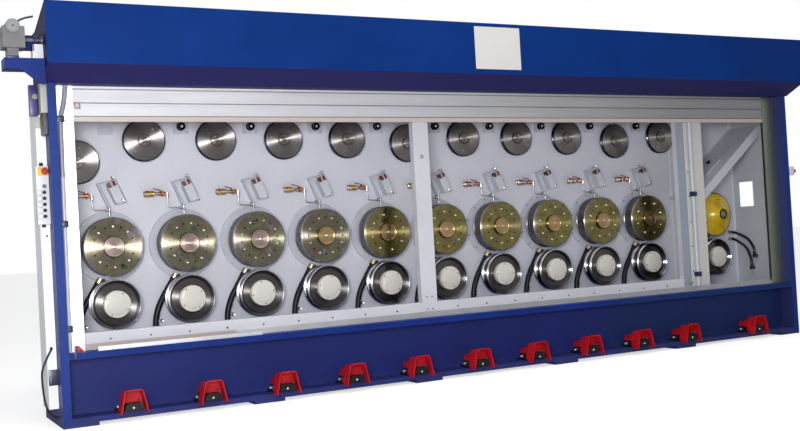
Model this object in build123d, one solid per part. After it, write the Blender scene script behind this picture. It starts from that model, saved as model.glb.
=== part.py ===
from build123d import *
import math
import os

# Wire drawing machine: a long cabinet with one row of drawing blocks, a guide
# pulley under each block and a deflecting pulley above it, behind a roller shutter.
# Millimetres. X runs along the machine, +Y is towards its back, +Z is up from the
# floor. The origin is on the floor, at the middle of the overall length and depth.

# Row of drawing blocks
PITCH = 500.0
COLUMNS = 10
EXIT_GAP = 750.0
AXIS_Z = 1064.0

# Overall frame
FIRST_FROM_END = 442.0
LAST_FROM_END = 484.0
FRAME_LENGTH = FIRST_FROM_END + (COLUMNS - 1) * PITCH + EXIT_GAP + LAST_FROM_END
GEAR_REACH = 263.0
HOOD_FRONT_Y = -600.0
CABINET_FRONT_Y = -405.0
CABINET_BACK_Y = 190.0
MACHINE_BACK_Y = 600.0
POST_WIDTH = 51.0
POST_DEPTH = 130.0

# Stop button box on the right end
STOP_BOX = 62.0
STOP_BOX_HEIGHT = 76.0
STOP_BOX_DEPTH = 70.0
STOP_BUTTON_RADIUS = 20.0
STOP_BUTTON_LENGTH = 42.0
STOP_BOX_Z = 1405.0

OVERALL_LENGTH = GEAR_REACH + FRAME_LENGTH + STOP_BOX + STOP_BUTTON_LENGTH
LEFT_X = GEAR_REACH - OVERALL_LENGTH / 2
RIGHT_X = LEFT_X + FRAME_LENGTH
FIRST_X = LEFT_X + FIRST_FROM_END
LAST_X = FIRST_X + (COLUMNS - 1) * PITCH + EXIT_GAP

# Base and feet
FOOT_HEIGHT = 22.0
FOOT_WIDTH = 209.0
FOOT_COUNT = 6
SHELF_TOP_Z = 56.0
LIP_BOTTOM_Z = 402.0
DECK_Z = 442.0
TOE_DEPTH = 150.0

# Shutter, its guides and the frame behind it
SHUTTER_Y = -305.0
SHUTTER_THICKNESS = 13.0
SHUTTER_BOTTOM_Z = 1868.0
SLAT_HEIGHT = 85.0
SLAT_GROOVE = 4.0
SHUTTER_EDGE = 60.0
BAR_HEIGHT = 30.0
BAR_THICKNESS = 21.0
GUIDE_FRONT_Y = -312.0
GUIDE_SKIN = 5.0
GUIDE_DEPTH = 27.0
LEFT_GUIDE_WIDTH = 113.0
RIGHT_GUIDE_WIDTH = 134.0
RAIL_FRONT_Y = -282.0
RAIL_DEPTH = 46.0
RAIL_TOP_Z = 547.0
MULLION_PLATE = 6.0
MULLION_FOOT_Z = 484.0
CENTRE_MULLION_X = 4 * PITCH + 149.0
CENTRE_MULLION_WIDTH = 126.0
RIGHT_MULLION_X = (COLUMNS - 1) * PITCH + 250.0
RIGHT_MULLION_WIDTH = 200.0
RIGHT_STRIP_WIDTH = 80.0

# Sill strips in front of the rail, lengths from the first block
STRIP_START = -214.0
STRIP_FRONT_END = 838.0
STRIP_BACK_START = 694.0
FRONT_STRIP_HEIGHT = 24.0
FRONT_STRIP_DEPTH = 20.0
BACK_STRIP_HEIGHT = 38.0
BACK_STRIP_DEPTH = 30.0
STRIP_WALL = 4.0

# Walls
WALL_Y = 160.0
END_WALL = 44.0
WINDOW_WIDTH = 198.0
WINDOW_HEIGHT = 222.0
WINDOW_Y = 29.0
WINDOW_Z = 1232.0

# Hood
SOFFIT_Z = 2056.0
HOOD_OVERHANG = 23.0
HOOD_LIP_RISE = 91.0
HOOD_FACE_HEIGHT = 372.0
HOOD_BACK_HEIGHT = 341.0
HOOD_KINK_DEPTH = 391.0
HOOD_BACK_Y = -75.0
ROOF_THICKNESS = 30.0
HOOD_EDGE_RADIUS = 14.0
PLATE_X = 5 * PITCH + 150.0
PLATE_WIDTH = 384.0
PLATE_MARGIN = 34.5
PLATE_THICKNESS = 3.0

# Rear housing of the drives
HOUSING_INSET = 100.0
HOUSING_TOP_Z = 1900.0

# Drawing block, as turned about its axis
BLOCK_RADIUS = 192.0
BLOCK_FRONT_Y = 15.0
BLOCK_BACK_Y = 122.0
BLOCK_RIM = 12.0
BLOCK_NECK_RADIUS = 120.0
BLOCK_HUB_RADIUS = 68.0
BLOCK_HUB_STEP = 15.0
SHAFT_RADIUS = 60.0
RUNNING_FIT = 0.05
SEAT = 0.3
EXIT_CONE = ((38.0, -86.0), (44.0, -82.0), (62.0, -52.0), (96.0, -18.0), (140.0, 4.0))

# Guide pulley below each block
PULLEY_DROP = 371.0
PULLEY_RADIUS = 160.0
PULLEY_FRONT_Y = 6.0
PULLEY_BACK_Y = 96.0
PULLEY_RIM = 16.0
PULLEY_GROOVE_RADIUS = 139.0
PULLEY_WEB_RADIUS = 134.0
PULLEY_WEB_SET_BACK = 22.0
PULLEY_HUB_RADIUS = 87.0
PULLEY_COVER_RADIUS = 62.0
PULLEY_COVER_STEP = 3.0
PULLEY_HUB_FRONT_Y = -10.0
PULLEY_SHAFT_RADIUS = 35.0

# Deflecting pulley above and between the blocks
UPPER_SIDE = 257.0
UPPER_RISE = 700.0
UPPER_RADIUS = 142.0
UPPER_FRONT_Y = 103.0
UPPER_THICKNESS = 34.0
UPPER_GROOVE_DEPTH = 9.0
UPPER_HUB_RADIUS = 37.0
UPPER_HUB_STEP = 3.0
UPPER_RECESS_RADIUS = 51.0
UPPER_RECESS = 7.0
UPPER_SHAFT_RADIUS = 30.0
LOWERED_UPPERS = (4, 8)
UPPER_LOWERING = 35.0
INLET_UPPER_SIDE = -185.0
INLET_UPPER_RISE = 560.0

# Bearing flanges on the wall
FLANGE_RADIUS = 235.0
FLANGE_THICKNESS = 14.0
SMALL_FLANGE_RADIUS = 60.0

# Wall fittings, from each block's axis
DIE_TRAY = ((1.0, 258.0), (-66.0, 416.0), (67.0, 446.0), (131.0, 289.0))
DIE_TRAY_DEPTH = 12.0
DIE_LIP_DEPTH = 24.0
DIE_LIP_SHARE = 0.07
DIE_BLOCK_DEPTH = 70.0
DIE_BLOCK = ((46.0, 280.0), (-2.0, 392.0), (58.0, 406.0), (106.0, 296.0))
VALVE_SIDE = -178.0
VALVE_RISE = 340.0
VALVE_LENGTH = 168.0
VALVE_RADIUS = 17.0
VALVE_STAND_OFF = 46.0
VALVE_BODY_RADIUS = 24.0
PIPE_RADIUS = 5.0
PIPE_BEND = 30.0
OUTLET_SIDE = 6.0
OUTLET_RISE = 244.0
OUTLET_DROP = 44.0
NOZZLE_SIDE = 24.0
NOZZLE_RISE = 796.0
NOZZLE_RADIUS = 27.0
NOZZLE_LENGTH = 34.0
NOZZLE_PLATE_WIDTH = 112.0
NOZZLE_PLATE_HEIGHT = 84.0
NOZZLE_PLATE_DROP = 10.0
NOZZLE_PLATE = 4.0
COVER_SIDE = 15.0
COVER_RISE = 773.0
COVER_WIDTH = 99.0
COVER_HEIGHT = 61.0

# Drain hose of each block, from its axis
HOSE_RADIUS = 20.0
HOSE_ROUTE = ((-72.0, -205.0), (-132.0, -300.0), (-188.0, -388.0), (-224.0, -490.0), (-224.0, -622.0))
HOSE_BEND_SHARE = 0.45
FITTING_RADIUS = 22.0
FITTING_LENGTH = 34.0
FITTING_CLIP = 12.0

# Foot switches
PEDAL_SIDE = -32.0
PEDAL_WIDTH = 174.0
PEDAL_TOP_WIDTH = 112.0
PEDAL_FRONT_Y = -470.0
PEDAL_HOOD_BACK_Y = -385.0
PEDAL_BACK_Y = -262.0
PEDAL_TOP_Z = 195.0
PEDAL_HOOD_LOW_Z = 184.0
PEDAL_TAIL_Z = 156.0
PEDAL_TAIL_LOW_Z = 142.0
PEDAL_TAIL_FOOT_Z = 102.0
PEDAL_TAIL_INSET = 27.0
PEDAL_ARM_Z = 50.0
PEDAL_WALL = 9.0
PEDAL_CORNER = 25.0
PEDAL_BASE_HEIGHT = 12.0
PEDAL_SWITCH_WIDTH = 96.0
TREADLE_WIDTH = 110.0
TREADLE_HEIGHT = 43.0
TREADLE_CORNER = 18.0
TREADLE_FRONT_Y = -452.0

# Wire deflector in the exit bay
DEFLECTOR_OFF_MULLION = 10.0
DEFLECTOR_LOW_Z = 1216.0
DEFLECTOR_OFF_WALL = 24.0
DEFLECTOR_HIGH_Z = 1822.0
DEFLECTOR_FRONT_Y = -200.0
DEFLECTOR_PLATE = 6.0
DEFLECTOR_FLANGE = 66.0

# Duct and control boxes at the left end
DUCT_WIDTH = 56.0
DUCT_FRONT_Y = -282.0
DUCT_DEPTH = 202.0
DUCT_BOTTOM_Z = 110.0
CONTROL_WIDTH = 74.0
CONTROL_DEPTH = 38.0
CONTROL_BOTTOM_Z = 1219.0
CONTROL_TOP_Z = 1569.0
JUNCTION_REACH = 90.0
JUNCTION_WIDTH = 48.0
JUNCTION_DEPTH = 42.0
JUNCTION_BOTTOM_Z = 1870.0

# Shutter drive at the left end; heights are stacked up from the hood's underside
DRIVE_Y = -450.0
SHELF_REACH = 224.0
SHELF_RISE = 64.0
SHELF_HEIGHT = 63.0
SHELF_DEPTH = 130.0
GUSSET_DROP = 22.0
GUSSET_REACH = 138.0
GUSSET_TOE = 32.0
GUSSET_PLATE = 12.0
NECK_HEIGHT = 60.0
NECK_WIDTH = 62.0
GEAR_WIDTH = 123.0
GEAR_HEIGHT = 125.0
GEAR_DEPTH = 130.0
GEAR_OFF_HOOD = 104.0
GEAR_CAP_SIDE = 56.0
GEAR_CAP_RADIUS = 39.0
GEAR_CAP_PROUD = 12.0
STUB_DROP = 46.0
STUB_RADIUS = 12.0
DRIVE_SHAFT_RISE = 56.0
DRIVE_SHAFT_RADIUS = 11.0
COUPLING_RADIUS = 26.0
COUPLING_LENGTH = 46.0
BEARING_WIDTH = 59.0
BEARING_DEPTH = 60.0
BEARING_DROP = 26.0
ARM_REACH = 110.0
ARM_Y = -360.0
ARM_DEPTH = 60.0
ARM_HEIGHT = 84.0
ARM_RISE = 206.0

# Hoses between the back wall and the right end wall
EXIT_HOSE_RADIUS = 12.0
EXIT_HOSE_START = 90.0
EXIT_HOSE_OFF_WALL = 27.0
EXIT_HOSE_HALF_BLOCK = 14.0
EXIT_HOSE_BENDS = (
    ((160.0, -167.0), (95.0, -167.0), (-6.0, -229.0), (-70.0, -318.0), (-70.0, -372.0)),
    ((160.0, -228.0), (100.0, -228.0), (11.0, -309.0), (-30.0, -420.0), (-30.0, -476.0)),
)

# Conduits on the left guide and the right mullion, (x, z) points from the first block and floor
LEFT_CONDUIT = ((-322.0, SOFFIT_Z), (-336.0, 1940.0), (-360.0, 1862.0), (-371.0, DECK_Z))
LEFT_CONDUIT_RADIUS = 15.0
LEFT_CLAMPS = ((-359.5, 1850.0), (-365.0, 1215.0), (-369.9, 584.0))
RIGHT_CONDUIT_SIDE = 52.0
RIGHT_CONDUIT_RADIUS = 17.0
RIGHT_CLAMP_ZS = (578.0, 1243.0)
CONDUIT_STAND_OFF = 2.0
CLAMP_WALL = 4.0
CLAMP_HEIGHT = 36.0


def block(x0, x1, y0, y1, z0, z1):
    """Upright box between two corners."""
    centre = Pos((x0 + x1) / 2, (y0 + y1) / 2, (z0 + z1) / 2)
    return centre * Box(x1 - x0, y1 - y0, z1 - z0)


def turned(x, z, outline):
    """Solid of revolution about the Y direction; the outline is (radius, y) points."""
    face = make_face(Polyline(*outline, close=True))
    return Pos(x, 0, z) * revolve(face, Axis.Y, 360)


def prism_x(x0, x1, outline):
    """Solid with one (y, z) section all along X."""
    face = Plane.YZ * make_face(Polyline(*outline, close=True))
    return Pos(x0, 0, 0) * extrude(face, amount=x1 - x0)


def prism_y(y0, y1, outline):
    """Solid with one (x, z) section all along Y."""
    face = Plane.XZ * make_face(Polyline(*outline, close=True))
    return Pos(0, y1, 0) * extrude(face, amount=y1 - y0)


def prism_z(z0, z1, outline):
    """Solid with one (x, y) section all along Z."""
    face = make_face(Polyline(*outline, close=True))
    return Pos(0, 0, z0) * extrude(face, amount=z1 - z0)


def rod(start, end, radius):
    """Round bar between two points."""
    axis = Vector(*end) - Vector(*start)
    plane = Plane(origin=start, z_dir=axis)
    return extrude(plane * Circle(radius), amount=axis.length)


def bend_radii(points):
    """One radius per inner corner: the largest that the shorter run allows."""
    radii = []
    for before, corner, after in zip(points, points[1:], points[2:]):
        run_in = Vector(*corner) - Vector(*before)
        run_out = Vector(*after) - Vector(*corner)
        half_turn = math.radians(run_in.get_angle(run_out)) / 2
        shorter = min(run_in.length, run_out.length)
        radii.append(HOSE_BEND_SHARE * shorter / math.tan(half_turn))
    return radii


def tube(points, radius):
    """Round tube along straight runs joined by tangent arcs."""
    path = FilletPolyline(*points, radius=bend_radii(points))
    start = Plane(origin=path @ 0, z_dir=path % 0)
    return sweep(start * Circle(radius), path=path)


def column_x(index):
    """X of a block's axis; the last column is set apart behind its own mullion."""
    if index < COLUMNS:
        return FIRST_X + index * PITCH
    return LAST_X


def from_first(distance):
    """X of a point given from the first block's axis."""
    return FIRST_X + distance


nodes = {}


def keep(name, *solids):
    """Collect one node from solids that don't touch."""
    nodes[name] = Compound([solid for shape in solids for solid in shape.solids()])


# Base with its toe recess, and the feet under it
inner_left = LEFT_X + POST_WIDTH
inner_right = RIGHT_X - POST_WIDTH
toe_back_y = CABINET_FRONT_Y + TOE_DEPTH
post_back_y = CABINET_FRONT_Y + POST_DEPTH
base_outline = (
    (CABINET_FRONT_Y, FOOT_HEIGHT),
    (CABINET_FRONT_Y, SHELF_TOP_Z),
    (toe_back_y, SHELF_TOP_Z),
    (toe_back_y, LIP_BOTTOM_Z),
    (CABINET_FRONT_Y, LIP_BOTTOM_Z),
    (CABINET_FRONT_Y, DECK_Z),
    (CABINET_BACK_Y, DECK_Z),
    (CABINET_BACK_Y, FOOT_HEIGHT),
)
base = prism_x(inner_left, inner_right, base_outline)
base_ends = [
    block(x0, x0 + POST_WIDTH, post_back_y, CABINET_BACK_Y, FOOT_HEIGHT, DECK_Z)
    for x0 in (LEFT_X, inner_right)
]
keep("base_plinth", base + base_ends)

foot_spacing = (FRAME_LENGTH - FOOT_WIDTH) / (FOOT_COUNT - 1)
feet = []
for index in range(FOOT_COUNT):
    foot_x = LEFT_X + index * foot_spacing
    feet.append(block(foot_x, foot_x + FOOT_WIDTH, CABINET_FRONT_Y, CABINET_BACK_Y, 0, FOOT_HEIGHT))
keep("base_feet", *feet)

# Corner posts
posts = [
    block(x0, x0 + POST_WIDTH, CABINET_FRONT_Y, post_back_y, FOOT_HEIGHT, SOFFIT_Z)
    for x0 in (LEFT_X, inner_right)
]
keep("corner_posts", *posts)

# Shutter guides: channels that hold the ends of the slats
guide_back_y = GUIDE_FRONT_Y + GUIDE_DEPTH


def guide(web_x, open_x):
    """Channel on the deck, its web against a post and its mouth towards the shutter."""
    side = 1 if open_x > web_x else -1
    web_inner = web_x + side * GUIDE_SKIN
    outline = (
        (web_x, GUIDE_FRONT_Y),
        (open_x, GUIDE_FRONT_Y),
        (open_x, GUIDE_FRONT_Y + GUIDE_SKIN),
        (web_inner, GUIDE_FRONT_Y + GUIDE_SKIN),
        (web_inner, guide_back_y - GUIDE_SKIN),
        (open_x, guide_back_y - GUIDE_SKIN),
        (open_x, guide_back_y),
        (web_x, guide_back_y),
    )
    return prism_z(DECK_Z, SOFFIT_Z, outline)


left_opening = inner_left + LEFT_GUIDE_WIDTH
right_opening = inner_right - RIGHT_GUIDE_WIDTH
keep("shutter_guides", guide(inner_left, left_opening), guide(inner_right, right_opening))

# Roller shutter, raised: slats with a groove at each joint, and its bottom bar
slat_back_y = SHUTTER_Y + SHUTTER_THICKNESS
curtain = block(
    left_opening - SHUTTER_EDGE, right_opening + SHUTTER_EDGE,
    SHUTTER_Y, slat_back_y, SHUTTER_BOTTOM_Z, SOFFIT_Z,
)
groove_z = SHUTTER_BOTTOM_Z + SLAT_HEIGHT
while groove_z < SOFFIT_Z - SLAT_GROOVE:
    groove_outline = (
        (SHUTTER_Y, groove_z - SLAT_GROOVE),
        (SHUTTER_Y + SLAT_GROOVE, groove_z),
        (SHUTTER_Y, groove_z + SLAT_GROOVE),
    )
    curtain -= prism_x(left_opening - SHUTTER_EDGE, right_opening + SHUTTER_EDGE, groove_outline)
    groove_z += SLAT_HEIGHT
bar_y = SHUTTER_Y - (BAR_THICKNESS - SHUTTER_THICKNESS) / 2
bar = block(
    left_opening + SEAT, right_opening - SEAT,
    bar_y, bar_y + BAR_THICKNESS, SHUTTER_BOTTOM_Z - BAR_HEIGHT, SHUTTER_BOTTOM_Z,
)
keep("roller_shutter", curtain + bar)

# Back wall and end walls; the right one has the window where the wire leaves
end_wall_x = inner_right - END_WALL
keep("back_wall", block(inner_left, end_wall_x, WALL_Y, CABINET_BACK_Y, DECK_Z, SOFFIT_Z))

left_wall = block(LEFT_X, inner_left, post_back_y, CABINET_BACK_Y, DECK_Z, SOFFIT_Z)
right_wall = block(end_wall_x, inner_right, guide_back_y, CABINET_BACK_Y, DECK_Z, SOFFIT_Z)
window = block(
    end_wall_x, inner_right,
    WINDOW_Y - WINDOW_WIDTH / 2, WINDOW_Y + WINDOW_WIDTH / 2,
    WINDOW_Z - WINDOW_HEIGHT / 2, WINDOW_Z + WINDOW_HEIGHT / 2,
)
keep("end_walls", left_wall, right_wall - window)

# Rail along the foot of the opening, and the sill strips in front of it
rail_back_y = RAIL_FRONT_Y + RAIL_DEPTH
right_mullion_left_x = from_first(RIGHT_MULLION_X - RIGHT_MULLION_WIDTH / 2)
rail_end_x = right_mullion_left_x - RIGHT_STRIP_WIDTH
keep("bottom_rail", block(left_opening, rail_end_x, RAIL_FRONT_Y, rail_back_y, DECK_Z, RAIL_TOP_Z))

back_strip_y = RAIL_FRONT_Y - BACK_STRIP_DEPTH
back_strip_outline = (
    (back_strip_y, DECK_Z),
    (back_strip_y, DECK_Z + FRONT_STRIP_HEIGHT),
    (back_strip_y + STRIP_WALL, DECK_Z + FRONT_STRIP_HEIGHT),
    (back_strip_y + STRIP_WALL, DECK_Z + STRIP_WALL),
    (RAIL_FRONT_Y - STRIP_WALL, DECK_Z + STRIP_WALL),
    (RAIL_FRONT_Y - STRIP_WALL, DECK_Z + BACK_STRIP_HEIGHT),
    (RAIL_FRONT_Y, DECK_Z + BACK_STRIP_HEIGHT),
    (RAIL_FRONT_Y, DECK_Z),
)
right_mullion_right_x = right_mullion_left_x + RIGHT_MULLION_WIDTH
back_strip = prism_x(from_first(STRIP_BACK_START), right_opening - SEAT, back_strip_outline)
front_strip_y = CABINET_FRONT_Y + FRONT_STRIP_DEPTH
front_strip = block(
    from_first(STRIP_START), from_first(STRIP_FRONT_END),
    front_strip_y, front_strip_y + FRONT_STRIP_DEPTH, DECK_Z, DECK_Z + FRONT_STRIP_HEIGHT,
)
keep("sill_strips", back_strip, front_strip)


# Mullions: the centre one is bolted to the rail's face, the right one stands on the deck
# with a flat strip along its left side
def mullion(centre_x, width, foot_z, body_z):
    """Front plate on a box section, from the foot to the soffit."""
    x0 = from_first(centre_x - width / 2)
    x1 = from_first(centre_x + width / 2)
    plate = block(x0, x1, RAIL_FRONT_Y - MULLION_PLATE, RAIL_FRONT_Y, foot_z, SOFFIT_Z)
    return plate + block(x0, x1, RAIL_FRONT_Y, rail_back_y, body_z, SOFFIT_Z)


centre_mullion = mullion(CENTRE_MULLION_X, CENTRE_MULLION_WIDTH, MULLION_FOOT_Z, RAIL_TOP_Z)
right_foot_z = DECK_Z + BACK_STRIP_HEIGHT
right_mullion = mullion(RIGHT_MULLION_X, RIGHT_MULLION_WIDTH, right_foot_z, DECK_Z)
right_mullion += block(rail_end_x, right_mullion_left_x, RAIL_FRONT_Y, rail_back_y, DECK_Z, SOFFIT_Z)
keep("mullions", centre_mullion, right_mullion)

# Hood over the shutter roll, with a rounded upper edge, and the flat roof behind it
hood_face_y = HOOD_FRONT_Y + PLATE_THICKNESS
hood_face_z = SOFFIT_Z + HOOD_LIP_RISE
hood_back_z = SOFFIT_Z + HOOD_BACK_HEIGHT
hood_outline = (
    (hood_face_y, hood_face_z),
    (hood_face_y, hood_face_z + HOOD_FACE_HEIGHT),
    (HOOD_FRONT_Y + HOOD_KINK_DEPTH, hood_back_z),
    (HOOD_BACK_Y, hood_back_z),
    (HOOD_BACK_Y, SOFFIT_Z),
    (CABINET_FRONT_Y, SOFFIT_Z),
)
hood = prism_x(LEFT_X - HOOD_OVERHANG, RIGHT_X + HOOD_OVERHANG, hood_outline)
top_front_edge = hood.edges().filter_by(Axis.X).sort_by(Axis.Z)[-1]
hood = fillet(top_front_edge, HOOD_EDGE_RADIUS)
hood += block(LEFT_X, RIGHT_X, HOOD_BACK_Y, CABINET_BACK_Y, SOFFIT_Z, SOFFIT_Z + ROOF_THICKNESS)
keep("hood", hood)

plate_x = from_first(PLATE_X)
keep("hood_plate", block(
    plate_x - PLATE_WIDTH / 2, plate_x + PLATE_WIDTH / 2,
    HOOD_FRONT_Y, hood_face_y,
    hood_face_z + PLATE_MARGIN, hood_face_z + HOOD_FACE_HEIGHT - PLATE_MARGIN,
))

# Closed rear housing of the drives
keep("rear_housing", block(
    LEFT_X + HOUSING_INSET, RIGHT_X - HOUSING_INSET,
    CABINET_BACK_Y, MACHINE_BACK_Y, 0, HOUSING_TOP_Z,
))

# Drawing blocks: a drum with a rim, a hub and a shaft into its wall flange; the exit block
# has a hub that widens to its disc
flange_front_y = WALL_Y - FLANGE_THICKNESS


def drawing_block(x, hub):
    """Block with its hub given as (radius, y) points from the front back to the disc's face."""
    outline = (
        (0, hub[0][1]),
        *hub,
        (BLOCK_RADIUS - 3, BLOCK_FRONT_Y),
        (BLOCK_RADIUS, BLOCK_FRONT_Y + 3),
        (BLOCK_RADIUS, BLOCK_FRONT_Y + BLOCK_RIM),
        (BLOCK_RADIUS - 7, BLOCK_FRONT_Y + BLOCK_RIM + 5),
        (BLOCK_RADIUS - 4, BLOCK_BACK_Y - BLOCK_RIM),
        (BLOCK_RADIUS, BLOCK_BACK_Y - BLOCK_RIM + 5),
        (BLOCK_RADIUS, BLOCK_BACK_Y),
        (BLOCK_NECK_RADIUS, BLOCK_BACK_Y),
        (BLOCK_NECK_RADIUS, flange_front_y - 6),
        (SHAFT_RADIUS, flange_front_y - 6),
        (SHAFT_RADIUS, WALL_Y - SEAT),
        (0, WALL_Y - SEAT),
    )
    return turned(x, AXIS_Z, outline)


for index in range(COLUMNS):
    hub = ((BLOCK_HUB_RADIUS, BLOCK_FRONT_Y - BLOCK_HUB_STEP), (BLOCK_HUB_RADIUS, BLOCK_FRONT_Y))
    keep(f"block_{index + 1:02d}", drawing_block(column_x(index), hub))
keep("block_11", drawing_block(LAST_X, EXIT_CONE))

# Guide pulleys below the blocks: a rim with a groove, a set-back web and a hub cover
pulley_z = AXIS_Z - PULLEY_DROP
pulley_outline = (
    (0, PULLEY_HUB_FRONT_Y),
    (PULLEY_COVER_RADIUS, PULLEY_HUB_FRONT_Y),
    (PULLEY_COVER_RADIUS + PULLEY_COVER_STEP, PULLEY_HUB_FRONT_Y + PULLEY_COVER_STEP),
    (PULLEY_HUB_RADIUS, PULLEY_HUB_FRONT_Y + PULLEY_COVER_STEP),
    (PULLEY_HUB_RADIUS, PULLEY_FRONT_Y + PULLEY_WEB_SET_BACK),
    (PULLEY_WEB_RADIUS, PULLEY_FRONT_Y + PULLEY_WEB_SET_BACK),
    (PULLEY_RADIUS - 6, PULLEY_FRONT_Y),
    (PULLEY_RADIUS, PULLEY_FRONT_Y + 6),
    (PULLEY_RADIUS, PULLEY_FRONT_Y + PULLEY_RIM),
    (PULLEY_GROOVE_RADIUS, PULLEY_FRONT_Y + PULLEY_RIM + 12),
    (PULLEY_GROOVE_RADIUS, PULLEY_BACK_Y - PULLEY_RIM - 12),
    (PULLEY_RADIUS, PULLEY_BACK_Y - PULLEY_RIM),
    (PULLEY_RADIUS, PULLEY_BACK_Y),
    (PULLEY_HUB_RADIUS, PULLEY_BACK_Y),
    (PULLEY_SHAFT_RADIUS, flange_front_y - 4),
    (PULLEY_SHAFT_RADIUS, WALL_Y - SEAT),
    (0, WALL_Y - SEAT),
)
for index in range(COLUMNS + 1):
    keep(f"lower_pulley_{index + 1:02d}", turned(column_x(index), pulley_z, pulley_outline))

# Deflecting pulleys above the blocks; the first one takes the wire as it comes in
upper_back_y = UPPER_FRONT_Y + UPPER_THICKNESS
upper_outline = (
    (0, UPPER_FRONT_Y - UPPER_HUB_STEP),
    (UPPER_HUB_RADIUS, UPPER_FRONT_Y - UPPER_HUB_STEP),
    (UPPER_HUB_RADIUS, UPPER_FRONT_Y + UPPER_RECESS),
    (UPPER_RECESS_RADIUS, UPPER_FRONT_Y + UPPER_RECESS),
    (UPPER_RECESS_RADIUS, UPPER_FRONT_Y),
    (UPPER_RADIUS - 2, UPPER_FRONT_Y),
    (UPPER_RADIUS, UPPER_FRONT_Y + 2),
    (UPPER_RADIUS, UPPER_FRONT_Y + 9),
    (UPPER_RADIUS - UPPER_GROOVE_DEPTH, UPPER_FRONT_Y + UPPER_THICKNESS / 2),
    (UPPER_RADIUS, upper_back_y - 9),
    (UPPER_RADIUS, upper_back_y),
    (UPPER_SHAFT_RADIUS, upper_back_y),
    (UPPER_SHAFT_RADIUS, WALL_Y - SEAT),
    (0, WALL_Y - SEAT),
)
uppers = [(from_first(INLET_UPPER_SIDE), AXIS_Z + INLET_UPPER_RISE)]
for index in range(COLUMNS):
    lowering = UPPER_LOWERING if index in LOWERED_UPPERS else 0
    uppers.append((column_x(index) + UPPER_SIDE, AXIS_Z + UPPER_RISE - lowering))
for index, (upper_x, upper_z) in enumerate(uppers):
    keep(f"upper_pulley_{index:02d}", turned(upper_x, upper_z, upper_outline))


# Bearing flanges on the wall, one round each shaft
def wall_flange(x, z, radius, shaft_radius):
    bore = shaft_radius + RUNNING_FIT
    outline = (
        (bore, flange_front_y),
        (radius - 4, flange_front_y),
        (radius, flange_front_y + 4),
        (radius, WALL_Y),
        (bore, WALL_Y),
    )
    return turned(x, z, outline)


flanges = []
for index in range(COLUMNS + 1):
    flanges.append(wall_flange(column_x(index), AXIS_Z, FLANGE_RADIUS, SHAFT_RADIUS))
    flanges.append(wall_flange(column_x(index), pulley_z, SMALL_FLANGE_RADIUS, PULLEY_SHAFT_RADIUS))
for upper_x, upper_z in uppers:
    flanges.append(wall_flange(upper_x, upper_z, SMALL_FLANGE_RADIUS, UPPER_SHAFT_RADIUS))
keep("bearing_flanges", *flanges)


# Die holders: a slanting tray on the wall with a lip on its left and the die block
tray_front_y = WALL_Y - DIE_TRAY_DEPTH
low_left, high_left, high_right, low_right = DIE_TRAY
lip_outline = (
    low_left,
    high_left,
    tuple(a + DIE_LIP_SHARE * (b - a) for a, b in zip(high_left, high_right)),
    tuple(a + DIE_LIP_SHARE * (b - a) for a, b in zip(low_left, low_right)),
)
die_holder = prism_y(tray_front_y, WALL_Y, DIE_TRAY)
die_holder += prism_y(tray_front_y - DIE_LIP_DEPTH, tray_front_y, lip_outline)
die_holder += prism_y(tray_front_y - DIE_BLOCK_DEPTH, tray_front_y, DIE_BLOCK)
keep("die_holders", *[Pos(column_x(index), 0, AXIS_Z) * die_holder for index in range(COLUMNS)])

# Cooling water: a valve on the wall and a thin pipe to the outlet above each block
valve_y = WALL_Y - VALVE_STAND_OFF
valves = []
for index in range(COLUMNS):
    x = column_x(index)
    valve_z = AXIS_Z + VALVE_RISE
    left = x + VALVE_SIDE - VALVE_LENGTH / 2
    right = x + VALVE_SIDE + VALVE_LENGTH / 2
    outlet_x = x + OUTLET_SIDE
    outlet_z = AXIS_Z + OUTLET_RISE
    valve = rod((left, valve_y, valve_z), (right, valve_y, valve_z), VALVE_RADIUS)
    valve += rod((left + 40, valve_y, valve_z), (left + 76, valve_y, valve_z), VALVE_BODY_RADIUS)
    valve += rod((left + 20, valve_y, valve_z), (left + 20, WALL_Y, valve_z), VALVE_RADIUS - 4)
    corner = (right - PIPE_RADIUS * 2, valve_y, outlet_z)
    pipe_start = (right - PIPE_RADIUS * 2, valve_y, valve_z - VALVE_RADIUS / 2)
    pipe_path = FilletPolyline(pipe_start, corner, (outlet_x, valve_y, outlet_z), radius=PIPE_BEND)
    valve += sweep(Plane(origin=pipe_path @ 0, z_dir=pipe_path % 0) * Circle(PIPE_RADIUS), path=pipe_path)
    outlet_top = (outlet_x, valve_y, outlet_z + 10)
    outlet_foot = (outlet_x, valve_y, outlet_z - OUTLET_DROP)
    valve += rod(outlet_top, outlet_foot, PIPE_RADIUS * 2)
    valve += rod((outlet_x, valve_y, outlet_z), (outlet_x, WALL_Y, outlet_z), PIPE_RADIUS + 2)
    valves.append(valve)
keep("water_valves", *valves)

# Round nozzles on small plates between the upper pulleys, and the bare plate of the first place
nozzles = []
for index in range(1, COLUMNS):
    x = column_x(index) + NOZZLE_SIDE
    z = AXIS_Z + NOZZLE_RISE
    low = z - NOZZLE_PLATE_DROP - NOZZLE_PLATE_HEIGHT / 2
    plate = block(
        x - NOZZLE_PLATE_WIDTH / 2, x + NOZZLE_PLATE_WIDTH / 2,
        WALL_Y - NOZZLE_PLATE, WALL_Y, low, low + NOZZLE_PLATE_HEIGHT,
    )
    nozzles.append(plate + rod((x, WALL_Y - NOZZLE_PLATE, z), (x, WALL_Y - NOZZLE_LENGTH, z), NOZZLE_RADIUS))
cover_x = FIRST_X + COVER_SIDE
cover_z = AXIS_Z + COVER_RISE
nozzles.append(block(
    cover_x - COVER_WIDTH / 2, cover_x + COVER_WIDTH / 2, WALL_Y - NOZZLE_PLATE, WALL_Y,
    cover_z - COVER_HEIGHT / 2, cover_z + COVER_HEIGHT / 2,
))
keep("nozzles", *nozzles)

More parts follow.
